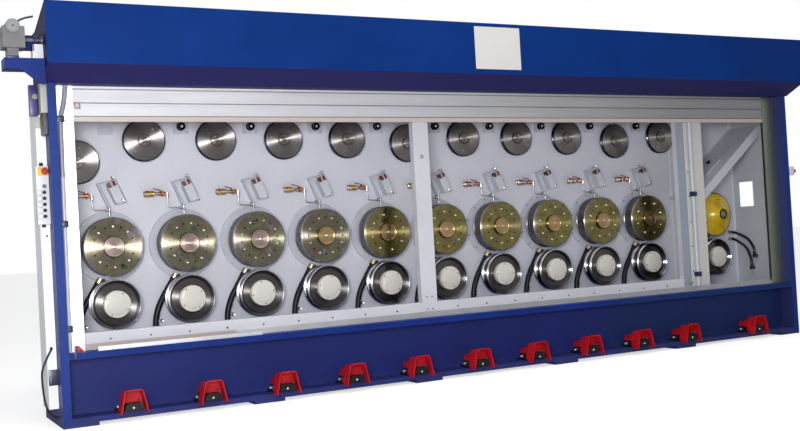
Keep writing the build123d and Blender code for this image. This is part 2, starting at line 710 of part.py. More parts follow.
# Drain hoses from the block flanges down to the deck, and their fittings
hose_y = flange_front_y - FITTING_RADIUS - SEAT
hoses = []
fittings = []
for index in range(COLUMNS):
    x = column_x(index)
    route = [Vector(x + side, hose_y, AXIS_Z + rise) for side, rise in HOSE_ROUTE]
    downhill = (route[1] - route[0]).normalized()
    hose_start = route[0] + downhill * FITTING_LENGTH
    boss = route[0] + downhill * FITTING_CLIP
    fitting = rod(route[0], hose_start, FITTING_RADIUS)
    fitting += block(
        boss.X - FITTING_CLIP / 2, boss.X + FITTING_CLIP / 2, hose_y, flange_front_y,
        boss.Z - FITTING_CLIP / 2, boss.Z + FITTING_CLIP / 2,
    )
    fittings.append(fitting)
    route = [hose_start] + route[1:]
    hoses.append(tube(route, HOSE_RADIUS))
print("drain hose radii", [round(radius) for radius in bend_radii(route)])

# Foot switches: a hood that slopes down to a narrow tail, over a switch body with a treadle
pedal_foot_z = SHELF_TOP_Z + PEDAL_BASE_HEIGHT
pedal_narrowing = (PEDAL_WIDTH - PEDAL_TOP_WIDTH) / 2 / (PEDAL_TOP_Z - PEDAL_ARM_Z)


def pedal_face(y, foot_z, top_z, inset, corner):
    """Section of the guard at y: it narrows upwards and has round top corners."""
    half_foot = PEDAL_WIDTH / 2 - pedal_narrowing * (foot_z - PEDAL_ARM_Z) - inset
    half_top = PEDAL_WIDTH / 2 - pedal_narrowing * (top_z - PEDAL_ARM_Z) - inset
    outline = ((-half_foot, foot_z), (-half_top, top_z), (half_top, top_z), (half_foot, foot_z))
    face = make_face(Polyline(*outline, close=True))
    face = fillet(face.vertices().group_by(Axis.Y)[-1], corner)
    return Pos(0, y, 0) * (Plane.XZ * face)


def pedal_guard(x):
    inner_corner = PEDAL_CORNER - PEDAL_WALL
    hood = loft([
        pedal_face(PEDAL_HOOD_BACK_Y, PEDAL_ARM_Z, PEDAL_HOOD_LOW_Z, 0, PEDAL_CORNER),
        pedal_face(PEDAL_FRONT_Y, PEDAL_ARM_Z, PEDAL_TOP_Z, 0, PEDAL_CORNER),
    ])
    hood -= loft([
        pedal_face(
            PEDAL_HOOD_BACK_Y - PEDAL_WALL, PEDAL_ARM_Z, PEDAL_HOOD_LOW_Z - PEDAL_WALL,
            PEDAL_WALL, inner_corner,
        ),
        pedal_face(PEDAL_FRONT_Y, PEDAL_ARM_Z, PEDAL_TOP_Z - PEDAL_WALL, PEDAL_WALL, inner_corner),
    ])
    hood -= block(
        -PEDAL_WIDTH, PEDAL_WIDTH, CABINET_FRONT_Y - SEAT, PEDAL_HOOD_BACK_Y, PEDAL_ARM_Z, pedal_foot_z,
    )
    tail = loft([
        pedal_face(PEDAL_BACK_Y, PEDAL_TAIL_FOOT_Z, PEDAL_TAIL_LOW_Z, PEDAL_TAIL_INSET, inner_corner),
        pedal_face(PEDAL_HOOD_BACK_Y, PEDAL_TAIL_FOOT_Z, PEDAL_TAIL_Z, PEDAL_TAIL_INSET, inner_corner),
    ])
    return Pos(x, 0, 0) * (hood + tail)


def pedal_base(x):
    half = PEDAL_WIDTH / 2 - PEDAL_WALL
    half_switch = PEDAL_SWITCH_WIDTH / 2
    plate = block(x - half, x + half, CABINET_FRONT_Y, PEDAL_BACK_Y, SHELF_TOP_Z, pedal_foot_z)
    switch_front_y = PEDAL_HOOD_BACK_Y + SEAT
    switch = block(
        x - half_switch, x + half_switch, switch_front_y, PEDAL_BACK_Y, pedal_foot_z, PEDAL_TAIL_FOOT_Z,
    )
    treadle_back_y = PEDAL_HOOD_BACK_Y - PEDAL_WALL - SEAT
    half_treadle = TREADLE_WIDTH / 2
    treadle_top_z = pedal_foot_z + TREADLE_HEIGHT
    treadle = prism_y(TREADLE_FRONT_Y, treadle_back_y, (
        (x - half_treadle, pedal_foot_z),
        (x - half_treadle, treadle_top_z - TREADLE_CORNER),
        (x - half_treadle + TREADLE_CORNER, treadle_top_z),
        (x + half_treadle - TREADLE_CORNER, treadle_top_z),
        (x + half_treadle, treadle_top_z - TREADLE_CORNER),
        (x + half_treadle, pedal_foot_z),
    ))
    return plate + switch + treadle


pedal_xs = [column_x(index) + PEDAL_SIDE for index in range(COLUMNS + 1)]
keep("pedal_guards", *[pedal_guard(x) for x in pedal_xs])
keep("pedal_bases", *[pedal_base(x) for x in pedal_xs])

# Wire deflector: a slanting plate from the wall with a flange along its front
deflector_low_x = right_mullion_right_x + DEFLECTOR_OFF_MULLION
deflector_high_x = end_wall_x - DEFLECTOR_OFF_WALL
run = Vector(deflector_high_x - deflector_low_x, 0, DEFLECTOR_HIGH_Z - DEFLECTOR_LOW_Z)
slope = math.degrees(math.atan2(run.Z, run.X))
deflector_plate = block(0, run.length, DEFLECTOR_FRONT_Y, WALL_Y, 0, DEFLECTOR_PLATE)
deflector_flange = block(
    0, run.length, DEFLECTOR_FRONT_Y, DEFLECTOR_FRONT_Y + DEFLECTOR_PLATE,
    -DEFLECTOR_FLANGE, 0,
)
deflector = deflector_plate + deflector_flange
deflector = Pos(deflector_low_x, 0, DEFLECTOR_LOW_Z) * Rot(0, -slope, 0) * deflector
inside = block(right_mullion_left_x, end_wall_x, DEFLECTOR_FRONT_Y, WALL_Y, DECK_Z, SOFFIT_Z)
keep("wire_deflector", deflector & inside)

# Cable duct outside the left end, with the control box and junction box on it
duct_left = LEFT_X - DUCT_WIDTH
keep("cable_duct", block(
    duct_left, LEFT_X, DUCT_FRONT_Y, DUCT_FRONT_Y + DUCT_DEPTH, DUCT_BOTTOM_Z, SOFFIT_Z,
))
control_box = block(
    LEFT_X - CONTROL_WIDTH, LEFT_X - SEAT, DUCT_FRONT_Y - CONTROL_DEPTH, DUCT_FRONT_Y,
    CONTROL_BOTTOM_Z, CONTROL_TOP_Z,
)
junction_x = LEFT_X - JUNCTION_REACH
junction_box = block(
    junction_x, junction_x + JUNCTION_WIDTH, DUCT_FRONT_Y - JUNCTION_DEPTH, DUCT_FRONT_Y,
    JUNCTION_BOTTOM_Z, SOFFIT_Z,
)
stop_box = block(
    RIGHT_X, RIGHT_X + STOP_BOX, CABINET_FRONT_Y, CABINET_FRONT_Y + STOP_BOX_DEPTH,
    STOP_BOX_Z - STOP_BOX_HEIGHT / 2, STOP_BOX_Z + STOP_BOX_HEIGHT / 2,
)
stop_y = CABINET_FRONT_Y + STOP_BOX_DEPTH / 2
stop_box += rod(
    (RIGHT_X + STOP_BOX, stop_y, STOP_BOX_Z),
    (RIGHT_X + STOP_BOX + STOP_BUTTON_LENGTH, stop_y, STOP_BOX_Z), STOP_BUTTON_RADIUS,
)
keep("control_boxes", control_box, junction_box, stop_box)

# Shutter drive: a shelf on a gusset, the gear case on its neck, its shaft and bearing block
hood_left = LEFT_X - HOOD_OVERHANG
shelf_left = hood_left - SHELF_REACH
shelf_z = SOFFIT_Z + SHELF_RISE
shelf_top_z = shelf_z + SHELF_HEIGHT
shelf_y0 = DRIVE_Y - SHELF_DEPTH / 2
shelf_y1 = DRIVE_Y + SHELF_DEPTH / 2
gear_z = shelf_top_z + NECK_HEIGHT
gear_top_z = gear_z + GEAR_HEIGHT
drive_shaft_z = gear_z + DRIVE_SHAFT_RISE
shelf = block(shelf_left, hood_left, shelf_y0, shelf_y1, shelf_z, shelf_top_z)
gusset_outline = (
    (hood_left, shelf_z),
    (hood_left, SOFFIT_Z - GUSSET_DROP),
    (hood_left - GUSSET_TOE, SOFFIT_Z - GUSSET_DROP),
    (hood_left - GUSSET_REACH, shelf_z),
)
shelf += prism_y(shelf_y0, shelf_y0 + GUSSET_PLATE, gusset_outline)
shelf += block(
    hood_left - ARM_REACH, hood_left, ARM_Y, ARM_Y + ARM_DEPTH,
    SOFFIT_Z + ARM_RISE, SOFFIT_Z + ARM_RISE + ARM_HEIGHT,
)
shelf += block(
    hood_left - BEARING_WIDTH, hood_left, DRIVE_Y - BEARING_DEPTH / 2, DRIVE_Y + BEARING_DEPTH / 2,
    shelf_top_z, drive_shaft_z - BEARING_DROP - SEAT,
)
keep("drive_shelf", shelf)

gear_right = hood_left - GEAR_OFF_HOOD
gear_left = gear_right - GEAR_WIDTH
gear_y0 = DRIVE_Y - GEAR_DEPTH / 2
gear_y1 = DRIVE_Y + GEAR_DEPTH / 2
cap_x = gear_left + GEAR_CAP_SIDE
cap_z = gear_top_z
stub_z = gear_top_z - STUB_DROP
gear = block(gear_left, gear_right, gear_y0, gear_y1, gear_z, gear_top_z)
gear += rod((cap_x, gear_y0 - GEAR_CAP_PROUD, cap_z), (cap_x, gear_y1, cap_z), GEAR_CAP_RADIUS)
gear += block(
    cap_x - NECK_WIDTH / 2, cap_x + NECK_WIDTH / 2, gear_y0 + 20, gear_y1 - 20, shelf_top_z, gear_z,
)
gear += rod((LEFT_X - GEAR_REACH, DRIVE_Y, stub_z), (gear_left, DRIVE_Y, stub_z), STUB_RADIUS)
gear += rod((gear_right, DRIVE_Y, drive_shaft_z), (hood_left, DRIVE_Y, drive_shaft_z), DRIVE_SHAFT_RADIUS)
gear += rod(
    (hood_left - COUPLING_LENGTH, DRIVE_Y, drive_shaft_z), (hood_left, DRIVE_Y, drive_shaft_z),
    COUPLING_RADIUS,
)
keep("shutter_drive", gear)

# Two hoses in the exit bay, from the back wall round to small blocks on the end wall
hose_x = end_wall_x - EXIT_HOSE_OFF_WALL
for bends in EXIT_HOSE_BENDS:
    xs = (end_wall_x - EXIT_HOSE_START,) * 2 + (hose_x,) * 3
    route = [(x, y, AXIS_Z + rise) for x, (y, rise) in zip(xs, bends)]
    hoses.append(tube(route, EXIT_HOSE_RADIUS))
    print("exit hose radii", [round(radius) for radius in bend_radii(route)])
    end_x, end_y, end_z = route[-1]
    fittings.append(block(
        end_x - EXIT_HOSE_HALF_BLOCK, end_wall_x,
        end_y - EXIT_HOSE_HALF_BLOCK, end_y + EXIT_HOSE_HALF_BLOCK,
        end_z - 2 * EXIT_HOSE_HALF_BLOCK, end_z,
    ))
keep("hoses", *hoses)
keep("hose_fittings", *fittings)

# Conduits down the front of the left guide and the right mullion, on clamps
left_y = GUIDE_FRONT_Y - LEFT_CONDUIT_RADIUS - CONDUIT_STAND_OFF
left_route = [(from_first(x), left_y, z) for x, z in LEFT_CONDUIT]
left_conduit = tube(left_route, LEFT_CONDUIT_RADIUS)
print("conduit radii", [round(radius) for radius in bend_radii(left_route)])

mullion_front_y = RAIL_FRONT_Y - MULLION_PLATE
right_x = right_mullion_left_x + RIGHT_CONDUIT_SIDE
right_y = mullion_front_y - RIGHT_CONDUIT_RADIUS - CONDUIT_STAND_OFF
right_conduit = rod(
    (right_x, right_y, DECK_Z + BACK_STRIP_HEIGHT),
    (right_x, right_y, SHUTTER_BOTTOM_Z - BAR_HEIGHT), RIGHT_CONDUIT_RADIUS,
)


def clamp(x, y, back_y, radius, z):
    half = radius + CLAMP_WALL
    return block(x - half, x + half, y - half, back_y, z - CLAMP_HEIGHT / 2, z + CLAMP_HEIGHT / 2)


for x, z in LEFT_CLAMPS:
    left_conduit += clamp(from_first(x), left_y, GUIDE_FRONT_Y, LEFT_CONDUIT_RADIUS, z)
left_conduit &= block(
    inner_left + SEAT, left_opening, CABINET_FRONT_Y, GUIDE_FRONT_Y, DECK_Z, SOFFIT_Z,
)
for z in RIGHT_CLAMP_ZS:
    right_conduit += clamp(right_x, right_y, mullion_front_y, RIGHT_CONDUIT_RADIUS, z)
keep("conduits", left_conduit, right_conduit)

os.makedirs("parts", exist_ok=True)
for name, shape in nodes.items():
    export_step(shape, f"parts/{name}.step")
print(len(nodes), "nodes")
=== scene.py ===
import math

import bmesh
import bpy
from mathutils import Matrix, Vector


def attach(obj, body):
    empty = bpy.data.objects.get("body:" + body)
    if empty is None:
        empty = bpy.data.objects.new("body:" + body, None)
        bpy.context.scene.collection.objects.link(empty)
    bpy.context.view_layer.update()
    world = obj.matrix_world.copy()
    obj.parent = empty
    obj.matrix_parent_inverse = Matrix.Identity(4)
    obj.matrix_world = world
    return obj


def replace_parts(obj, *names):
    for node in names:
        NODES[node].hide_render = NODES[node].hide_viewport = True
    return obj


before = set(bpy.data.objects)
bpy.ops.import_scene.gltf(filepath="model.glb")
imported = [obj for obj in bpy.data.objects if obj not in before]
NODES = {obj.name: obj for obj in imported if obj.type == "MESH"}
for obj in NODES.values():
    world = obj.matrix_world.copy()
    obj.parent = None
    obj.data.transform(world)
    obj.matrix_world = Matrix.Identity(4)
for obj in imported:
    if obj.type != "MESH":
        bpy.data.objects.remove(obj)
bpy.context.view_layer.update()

MM = 0.001
FRAME_BODY = "frame"

# Places that the part's source fixes, in millimetres in the frame's axes
PITCH = 500.0
COLUMNS = 10
FIRST_X = -2566.5
LAST_X = FIRST_X + (COLUMNS - 1) * PITCH + 750.0
LEFT_X = FIRST_X - 442.0
RIGHT_X = LAST_X + 484.0
END_X = RIGHT_X - 95.0
AXIS_Z = 1064.0
PULLEY_Z = 693.0
DECK_Z = 442.0
SOFFIT_Z = 2056.0
WALL_Y = 160.0
FLANGE_Y = 146.0
BLOCK_FRONT_Y = 15.0
RAIL_Y = -282.0
MULLION_Y = -288.0
DUCT_Y = -282.0
BOX_Y = -320.0
DRIVE_Y = -450.0
columns = [FIRST_X + index * PITCH for index in range(COLUMNS)] + [LAST_X]

# Deflecting pulleys: the first sits low, and two of the others a little lower than the rest
UPPER_Z = 1764.0
UPPER_DROP = 35.0
LOWERED_UPPERS = (4, 8)
uppers = [(FIRST_X - 185.0, 1624.0)]
for index in range(COLUMNS):
    drop = UPPER_DROP if index in LOWERED_UPPERS else 0.0
    uppers.append((columns[index] + 257.0, UPPER_Z - drop))

# Degrees above which an edge stays sharp; small on discs, so that their flats shade flat
SHARP = 32.0
SHARP_NODE = 30.0
SHARP_DISC = 12.0
SHARP_HUB = 8.0


def linear(red, green, blue):
    """Colour given as 0-255 display values, as the linear RGBA that the sockets take."""
    out = []
    for value in (red, green, blue):
        part = value / 255
        out.append(part / 12.92 if part <= 0.04045 else ((part + 0.055) / 1.055) ** 2.4)
    return (*out, 1.0)


def shaded(colour, factor):
    return (*(part * factor for part in colour[:3]), 1.0)


class Shader:
    """One node material: a Principled shader whose colour, roughness and bump come from textures."""

    def __init__(self, name):
        self.material = bpy.data.materials.new(name)
        self.material.use_nodes = True
        self.tree = self.material.node_tree
        self.tree.nodes.clear()
        output = self.node("ShaderNodeOutputMaterial")
        self.bsdf = self.node("ShaderNodeBsdfPrincipled")
        self.link(self.bsdf, "BSDF", output, "Surface")
        self.coordinates = self.node("ShaderNodeTexCoord")

    def node(self, kind, **settings):
        made = self.tree.nodes.new(kind)
        for key, value in settings.items():
            setattr(made, key, value)
        return made

    def link(self, source, output, target, socket):
        self.tree.links.new(source.outputs[output], target.inputs[socket])

    def set(self, **values):
        """Constants on the Principled shader's own sockets."""
        for key, value in values.items():
            self.bsdf.inputs[key.replace("_", " ").title()].default_value = value

    def gloss(self, amount):
        """Strength of the mirror reflection; low on paint, so that it doesn't mirror the white world."""
        self.bsdf.inputs["Specular IOR Level"].default_value = amount

    def calculate(self, operation, source, output, value=0.0):
        """One arithmetic step on an output."""
        step = self.node("ShaderNodeMath", operation=operation)
        step.inputs[1].default_value = value
        self.link(source, output, step, 0)
        return step

    def noise(self, scale, detail=3.0, stretch=(1, 1, 1), roughness=0.5):
        """Noise over the object; scale is in cells a metre."""
        mapping = self.node("ShaderNodeMapping")
        mapping.inputs["Scale"].default_value = stretch
        self.link(self.coordinates, "Object", mapping, "Vector")
        texture = self.node("ShaderNodeTexNoise")
        texture.inputs["Scale"].default_value = scale
        texture.inputs["Detail"].default_value = detail
        texture.inputs["Roughness"].default_value = roughness
        self.link(mapping, "Vector", texture, "Vector")
        return texture

    def ramp(self, source, output, stops):
        """Colour ramp; stops are (place, rgba)."""
        ramp = self.node("ShaderNodeValToRGB")
        elements = ramp.color_ramp.elements
        while len(elements) < len(stops):
            elements.new(0.5)
        for element, (place, colour) in zip(elements, stops):
            element.position = place
            element.color = colour
        self.link(source, output, ramp, "Fac")
        return ramp

    def tones(self, source, colour, darker, lighter, places=(0.3, 0.5, 0.7)):
        """Ramp from a darker to a lighter tone of one colour over a noise."""
        stops = zip(places, (shaded(colour, darker), colour, shaded(colour, lighter)))
        return self.ramp(source, "Fac", tuple(stops))

    def mix(self, factor, first, second, blend="MIX"):
        """Mix of two colours; each may be a node with the name of its output, or an rgba."""
        mix = self.node("ShaderNodeMix", data_type="RGBA", blend_type=blend)
        for socket, value in ((0, factor), (6, first), (7, second)):
            if isinstance(value, tuple) and isinstance(value[0], bpy.types.Node):
                self.tree.links.new(value[0].outputs[value[1]], mix.inputs[socket])
            else:
                mix.inputs[socket].default_value = value
        return (mix, "Result")

    def colour_from(self, source):
        """Base colour from (node, output)."""
        self.link(*source, self.bsdf, "Base Color")

    def spread(self, source, output, low, high, lowest=0.3, highest=0.7):
        """Map a part of a value's range onto low-high."""
        spread = self.node("ShaderNodeMapRange")
        for key, value in (("From Min", lowest), ("From Max", highest), ("To Min", low), ("To Max", high)):
            spread.inputs[key].default_value = value
        self.link(source, output, spread, "Value")
        return spread

    def parts(self, space="Object"):
        """The three parts of a texture coordinate."""
        parts = self.node("ShaderNodeSeparateXYZ")
        self.link(self.coordinates, space, parts, "Vector")
        return parts

    def side(self, space, axis, limit, below=True):
        """1 where an axis of a texture coordinate is below (or above) a limit."""
        operation = "LESS_THAN" if below else "GREATER_THAN"
        return self.calculate(operation, self.parts(space), axis, limit)

    def bump(self, source, height, strength):
        """Bump from a noise; height is in metres."""
        bump = self.node("ShaderNodeBump")
        bump.inputs["Distance"].default_value = height
        bump.inputs["Strength"].default_value = strength
        self.link(source, "Fac", bump, "Height")
        self.link(bump, "Normal", self.bsdf, "Normal")

    def rough(self, source, low, high):
        """Roughness that follows a noise."""
        self.link(self.spread(source, "Fac", low, high), "Result", self.bsdf, "Roughness")


def paint(name, rgb, rough=0.4, tone=0.12, scale=2.5, gloss=0.3, dust=0.0, dust_top=0.3, zones=()):
    """Sprayed or powder-coated sheet: broad tone changes, fine peel, dust low down.

    Each zone is (space, axis, limit, below, rgb, share): another tone on one side of a limit, either the
    paint's own tone or painted shade.
    """
    shader = Shader(name)
    colour = linear(*rgb)
    base = shader.tones(shader.noise(scale, 4.0, (1, 1, 1.6)), colour, 1 - tone, 1 + tone, (0.3, 0.5, 0.72))
    specks = shader.noise(60.0, 4.0)
    speck = shader.spread(specks, "Fac", 0.0, 0.16, 0.62, 0.75)
    out = shader.mix((speck, "Result"), (base, "Color"), shaded(colour, 0.55))
    for space, axis, limit, below, other, share in zones:
        part = shader.calculate("MULTIPLY", shader.side(space, axis, limit, below), "Value", share)
        out = shader.mix((part, "Value"), out, linear(*other))
    if dust:
        low = shader.spread(shader.parts(), "Z", 0.0, dust, dust_top, 0.0)
        patch = shader.calculate("MULTIPLY", low, "Result")
        shader.link(shader.noise(9.0, 6.0), "Fac", patch, 1)
        out = shader.mix((patch, "Value"), out, linear(120, 112, 100))
    shader.colour_from(out)
    shader.rough(specks, rough - 0.05, rough + 0.08)
    shader.bump(shader.noise(420.0, 2.0), 0.00012, 0.6)
    shader.gloss(gloss)
    return shader.material


def metal(name, rgb, rough=0.3, tone=0.15, grain=(1, 1, 1), dirt=0.0, far_shade=None, shade_from=0.0):
    """Bare or plated metal: grain along one axis, tone changes, a little dirt, and painted shade: a darker
    tone past a place on X, for parts far from the light.
    """
    shader = Shader(name)
    out = (shader.tones(shader.noise(7.0, 5.0), linear(*rgb), 1 - tone, 1 + tone), "Color")
    if dirt:
        stain = shader.spread(shader.noise(24.0, 6.0), "Fac", 0.0, dirt)
        out = shader.mix((stain, "Result"), out, linear(58, 50, 42))
    if far_shade:
        out = shader.mix((shader.side("Object", "X", shade_from, False), "Value"), out, linear(*far_shade))
    shader.colour_from(out)
    fine = shader.noise(90.0, 4.0, grain)
    shader.rough(fine, rough - 0.08, rough + 0.1)
    shader.bump(fine, 0.00008, 0.7)
    shader.set(metallic=1.0)
    return shader.material


def spun(name, inner, outer, rough=0.3, anisotropy=0.97, mottle=(), rim=None, rim_from=0.955, metallic=1.0):
    """Disc turned on a lathe about Y: rings by radius and a radial tangent for its streaks."""
    shader = Shader(name)
    flat = shader.node("ShaderNodeVectorMath", operation="MULTIPLY_ADD")
    flat.inputs[1].default_value = (2.0, 0.0, 2.0)
    flat.inputs[2].default_value = (-1.0, 0.0, -1.0)
    shader.link(shader.coordinates, "Generated", flat, 0)
    radius = shader.node("ShaderNodeVectorMath", operation="LENGTH")
    shader.link(flat, "Vector", radius, 0)
    out = (shader.ramp(radius, "Value", ((0.25, linear(*inner)), (0.9, linear(*outer)))), "Color")
    patches = shader.noise(11.0, 6.0, roughness=0.6)
    if mottle:
        stains = shader.ramp(patches, "Fac", tuple(
            (0.32 + 0.36 * step / (len(mottle) - 1), linear(*rgb)) for step, rgb in enumerate(mottle)
        ))
        out = shader.mix(0.75, out, (stains, "Color"))
    rings = shader.node("ShaderNodeTexNoise", noise_dimensions="1D")
    rings.inputs["Scale"].default_value = 60.0
    rings.inputs["Detail"].default_value = 4.0
    shader.link(radius, "Value", rings, "W")
    out = shader.mix(1.0, out, (shader.spread(rings, "Fac", 0.86, 1.12), "Result"), "MULTIPLY")
    if rim:
        edge = shader.calculate("GREATER_THAN", radius, "Value", rim_from)
        out = shader.mix((edge, "Value"), out, linear(*rim))
    shader.colour_from(out)
    shader.rough(patches, rough - 0.07, rough + 0.1)
    tangent = shader.node("ShaderNodeTangent", direction_type="RADIAL", axis="Y")
    shader.link(tangent, "Tangent", shader.bsdf, "Tangent")
    shader.bump(rings, 0.00025, 0.35)
    shader.set(metallic=metallic, anisotropic=anisotropy, anisotropic_rotation=0.25)
    return shader.material


def rubber(name, rgb, rough=0.45, gloss=0.4):
    """Rubber or moulded plastic: fine grain and slight wear."""
    shader = Shader(name)
    worn = shader.noise(16.0, 5.0)
    shader.colour_from((shader.tones(worn, linear(*rgb), 0.8, 1.35, (0.3, 0.55, 0.8)), "Color"))
    shader.rough(worn, rough - 0.08, rough + 0.1)
    shader.bump(shader.noise(700.0, 2.0), 0.0002, 0.5)
    shader.gloss(gloss)
    return shader.material


# Zones of the paints: painted shade on undersides, the low edge of the rail, a strip of painted shade beside
# the right mullion and the pale strip past it
UNDERSIDE_SHADE = ("Normal", "Z", -0.2, True, (50, 40, 104), 0.85)
LOW_EDGE = ("Object", "Z", 0.48, True, (176, 158, 150), 0.8)
SHADED_STRIP = ("Object", "X", 2.0035, False, (150, 158, 172), 1.0)
PALE_STRIP = ("Object", "X", 2.0835, False, (206, 204, 198), 1.0)

# Painted shade: faces that look down or to the left take darker violet tones
BLUE = paint(
    "blue_paint", (14, 50, 132), rough=0.42, gloss=0.12,
    zones=(UNDERSIDE_SHADE, ("Normal", "X", -0.5, True, (58, 56, 92), 0.7)),
)
# Painted shade: the hood's faces that look down, and its left end, take darker violet tones
HOOD_BLUE = paint(
    "hood_paint", (12, 50, 120), rough=0.5, gloss=0.04,
    zones=(
        ("Normal", "Z", -0.2, True, (48, 44, 96), 0.85), ("Normal", "X", -0.3, True, (22, 20, 70), 0.95),
        ("Normal", "Z", -0.2, True, (48, 44, 96), 0.5),
    ),
)
# Dust low down; painted shade on undersides, painted shade with the painted reflection of the pedals on the
# low part, and painted shade on the right part, far from the light
BASE_BLUE = paint(
    "base_blue_paint", (20, 46, 120), rough=0.45, tone=0.18, gloss=0.08, dust=0.2, dust_top=0.1,
    zones=(
        UNDERSIDE_SHADE, ("Object", "Z", 0.4, True, (48, 44, 96), 0.45), ("Object", "X", 1.2, False, (30, 52, 92), 0.5),
    ),
)
WALL = paint("wall_paint", (211, 212, 223), rough=0.5, tone=0.045, scale=1.4)
END_WALL = paint("end_wall_paint", (188, 192, 198), rough=0.5, tone=0.05, scale=1.4)
RING = paint("flange_paint", (190, 192, 203), rough=0.45, tone=0.05)
WHITE = paint("white_paint", (226, 228, 234), rough=0.42, tone=0.04)
RAIL = paint("rail_paint", (208, 208, 216), rough=0.45, tone=0.05, zones=(LOW_EDGE,))
POST = paint(
    "mullion_paint", (208, 208, 216), rough=0.45, tone=0.05, zones=(LOW_EDGE, SHADED_STRIP, PALE_STRIP),
)
DUCT = paint("duct_paint", (250, 251, 255), rough=0.42, tone=0.02)
SIGN = paint("sign_paint", (222, 219, 215), rough=0.42, tone=0.03)
GREY = paint("grey_paint", (138, 138, 134), rough=0.5, tone=0.08)
GEAR_GREY = paint("gear_paint", (108, 108, 112), rough=0.5, tone=0.1)
# Painted shade on the conduit high up under the hood; the conduit on the right has its own tone
CONDUIT = paint(
    "conduit_paint", (188, 188, 206), tone=0.06,
    zones=(
        ("Object", "Z", 1.5, False, (128, 126, 150), 0.8), ("Object", "X", 0.0, False, (186, 194, 204), 1.0),
    ),
)
# Guide, valve bodies and drain fittings: their second tone, past a place on X, is painted shade for the parts
# far from the light
GUIDE = metal(
    "guide_aluminium", (208, 210, 206), rough=0.42, tone=0.06, grain=(8, 8, 0.3), far_shade=(132, 138, 126),
)
STRIP = metal("strip_aluminium", (172, 172, 176), rough=0.42, tone=0.08, grain=(0.4, 6, 6))
STEEL = metal("bright_steel", (196, 194, 192), tone=0.12)
ZINC = metal("zinc_plate", (172, 172, 170), rough=0.4, tone=0.12, dirt=0.25)
EXIT_BRASS = metal("exit_brass", (130, 118, 92), rough=0.35, dirt=0.3)
VALVE_BRASS = metal("valve_brass", (206, 166, 96), dirt=0.2, far_shade=(178, 140, 112))
DRAIN = metal("drain_fitting", (176, 158, 132), rough=0.38, dirt=0.3, far_shade=(84, 82, 74), shade_from=2.93)
PIPE = metal("pipe_steel", (150, 150, 148), rough=0.42, dirt=0.2)
COPPER = metal("copper", (200, 132, 106), rough=0.32, tone=0.18, dirt=0.2)
DRUM = spun(
    "drum_steel", (124, 122, 118), (104, 102, 108), anisotropy=0.8, rim=(150, 148, 146), rim_from=0.985,
)
# Plate and hub discs in two copies each: tones painted for the blocks near the light and for those far from
# it
PLATE_PAINTED_NEAR_LIGHT = spun(
    "chromate_painted_near_light", (104, 104, 92), (112, 112, 100),
    mottle=((52, 60, 62), (112, 112, 82), (104, 86, 78), (128, 128, 130)),
)
PLATE_PAINTED_FAR_LIGHT = spun(
    "chromate_painted_far_light", (112, 112, 74), (116, 116, 80), rough=0.28, anisotropy=0.95,
    mottle=((50, 62, 46), (128, 122, 66), (112, 92, 64), (112, 122, 106)),
)
HUB_PAINTED_NEAR_LIGHT = spun(
    "hub_painted_near_light", (164, 142, 136), (154, 140, 126), rough=0.26, anisotropy=0.75,
    mottle=((140, 132, 116), (170, 144, 142)), rim=(92, 74, 58), rim_from=0.95,
)
HUB_PAINTED_FAR_LIGHT = spun(
    "hub_painted_far_light", (172, 146, 104), (150, 122, 84), rough=0.26, anisotropy=0.8,
    mottle=((140, 120, 82), (176, 146, 104)), rim=(84, 62, 40), rim_from=0.95,
)
YELLOW = spun(
    "yellow_plate", (234, 194, 0), (222, 180, 0), anisotropy=0.3, metallic=0.0,
    mottle=((236, 196, 0), (208, 168, 0)),
)
LOWER = spun("lower_pulley_steel", (90, 86, 82), (78, 75, 76), rim=(190, 188, 196))
UPPER = spun("upper_pulley_steel", (132, 126, 122), (116, 112, 112), rim=(34, 34, 52))
DARK_STEEL = metal("dark_steel", (66, 64, 64), rough=0.4, tone=0.2)
# Flange bolts: their second tone, on the right, is painted shade for the bolts far from the light
BOLT = metal("bolt_zinc", (176, 176, 176), rough=0.4, tone=0.1, far_shade=(84, 84, 86))
COVER = paint("cover_plastic", (220, 216, 208), rough=0.35, tone=0.04)
# Grey of the rods that paint shade along the trays' edges
EDGE_SHADE = paint("painted_edge_shade", (116, 120, 134), rough=0.5, tone=0.06)
TRAY = paint("tray_paint", (198, 201, 210), rough=0.45, tone=0.06)
VIOLET = paint("violet_paint", (40, 28, 112), tone=0.1)
PALE_GREY = paint("pale_grey_paint", (176, 178, 172), rough=0.5, tone=0.06)
GEAR_CAP = paint("gear_cap_paint", (138, 140, 142), rough=0.5, tone=0.06)
LABEL_YELLOW = paint("yellow_label", (214, 186, 30), rough=0.5, tone=0.04)
PINK = paint("pink_plate", (226, 192, 190), rough=0.45, tone=0.06)
CLAMP_BROWN = paint("clamp_brown", (84, 52, 46), rough=0.45, tone=0.25)
CLAMP_PINK = paint("clamp_pink", (206, 160, 156), tone=0.1)
RED = rubber("red_plastic", (190, 22, 34), gloss=0.15)
LEVER_RED = rubber("lever_red", (128, 44, 36), rough=0.4)
BLACK = rubber("black_plastic", (14, 14, 18), rough=0.5, gloss=0.2)
HOSE = rubber("hose_rubber", (12, 17, 30), rough=0.5, gloss=0.15)
GLAND = rubber("gland_plastic", (64, 84, 120))
# Black of the nozzle rings, and the painted shade in the holes of the discs
BLACK_AND_HOLE_SHADE = rubber("black_and_hole_shade", (8, 8, 10), rough=0.7, gloss=0.03)
NAVY = rubber("navy_plastic", (22, 26, 70), rough=0.4)
GREEN = rubber("green_plastic", (40, 120, 78), rough=0.35)

# Roller shutter, in metres: two neighbouring joints of its slats, and the top of its bottom bar
JOINT_Z = 1.868
NEXT_JOINT_Z = 1.953
BAR_TOP_Z = 1.8685
BAR_LINE_Z = 1.8735


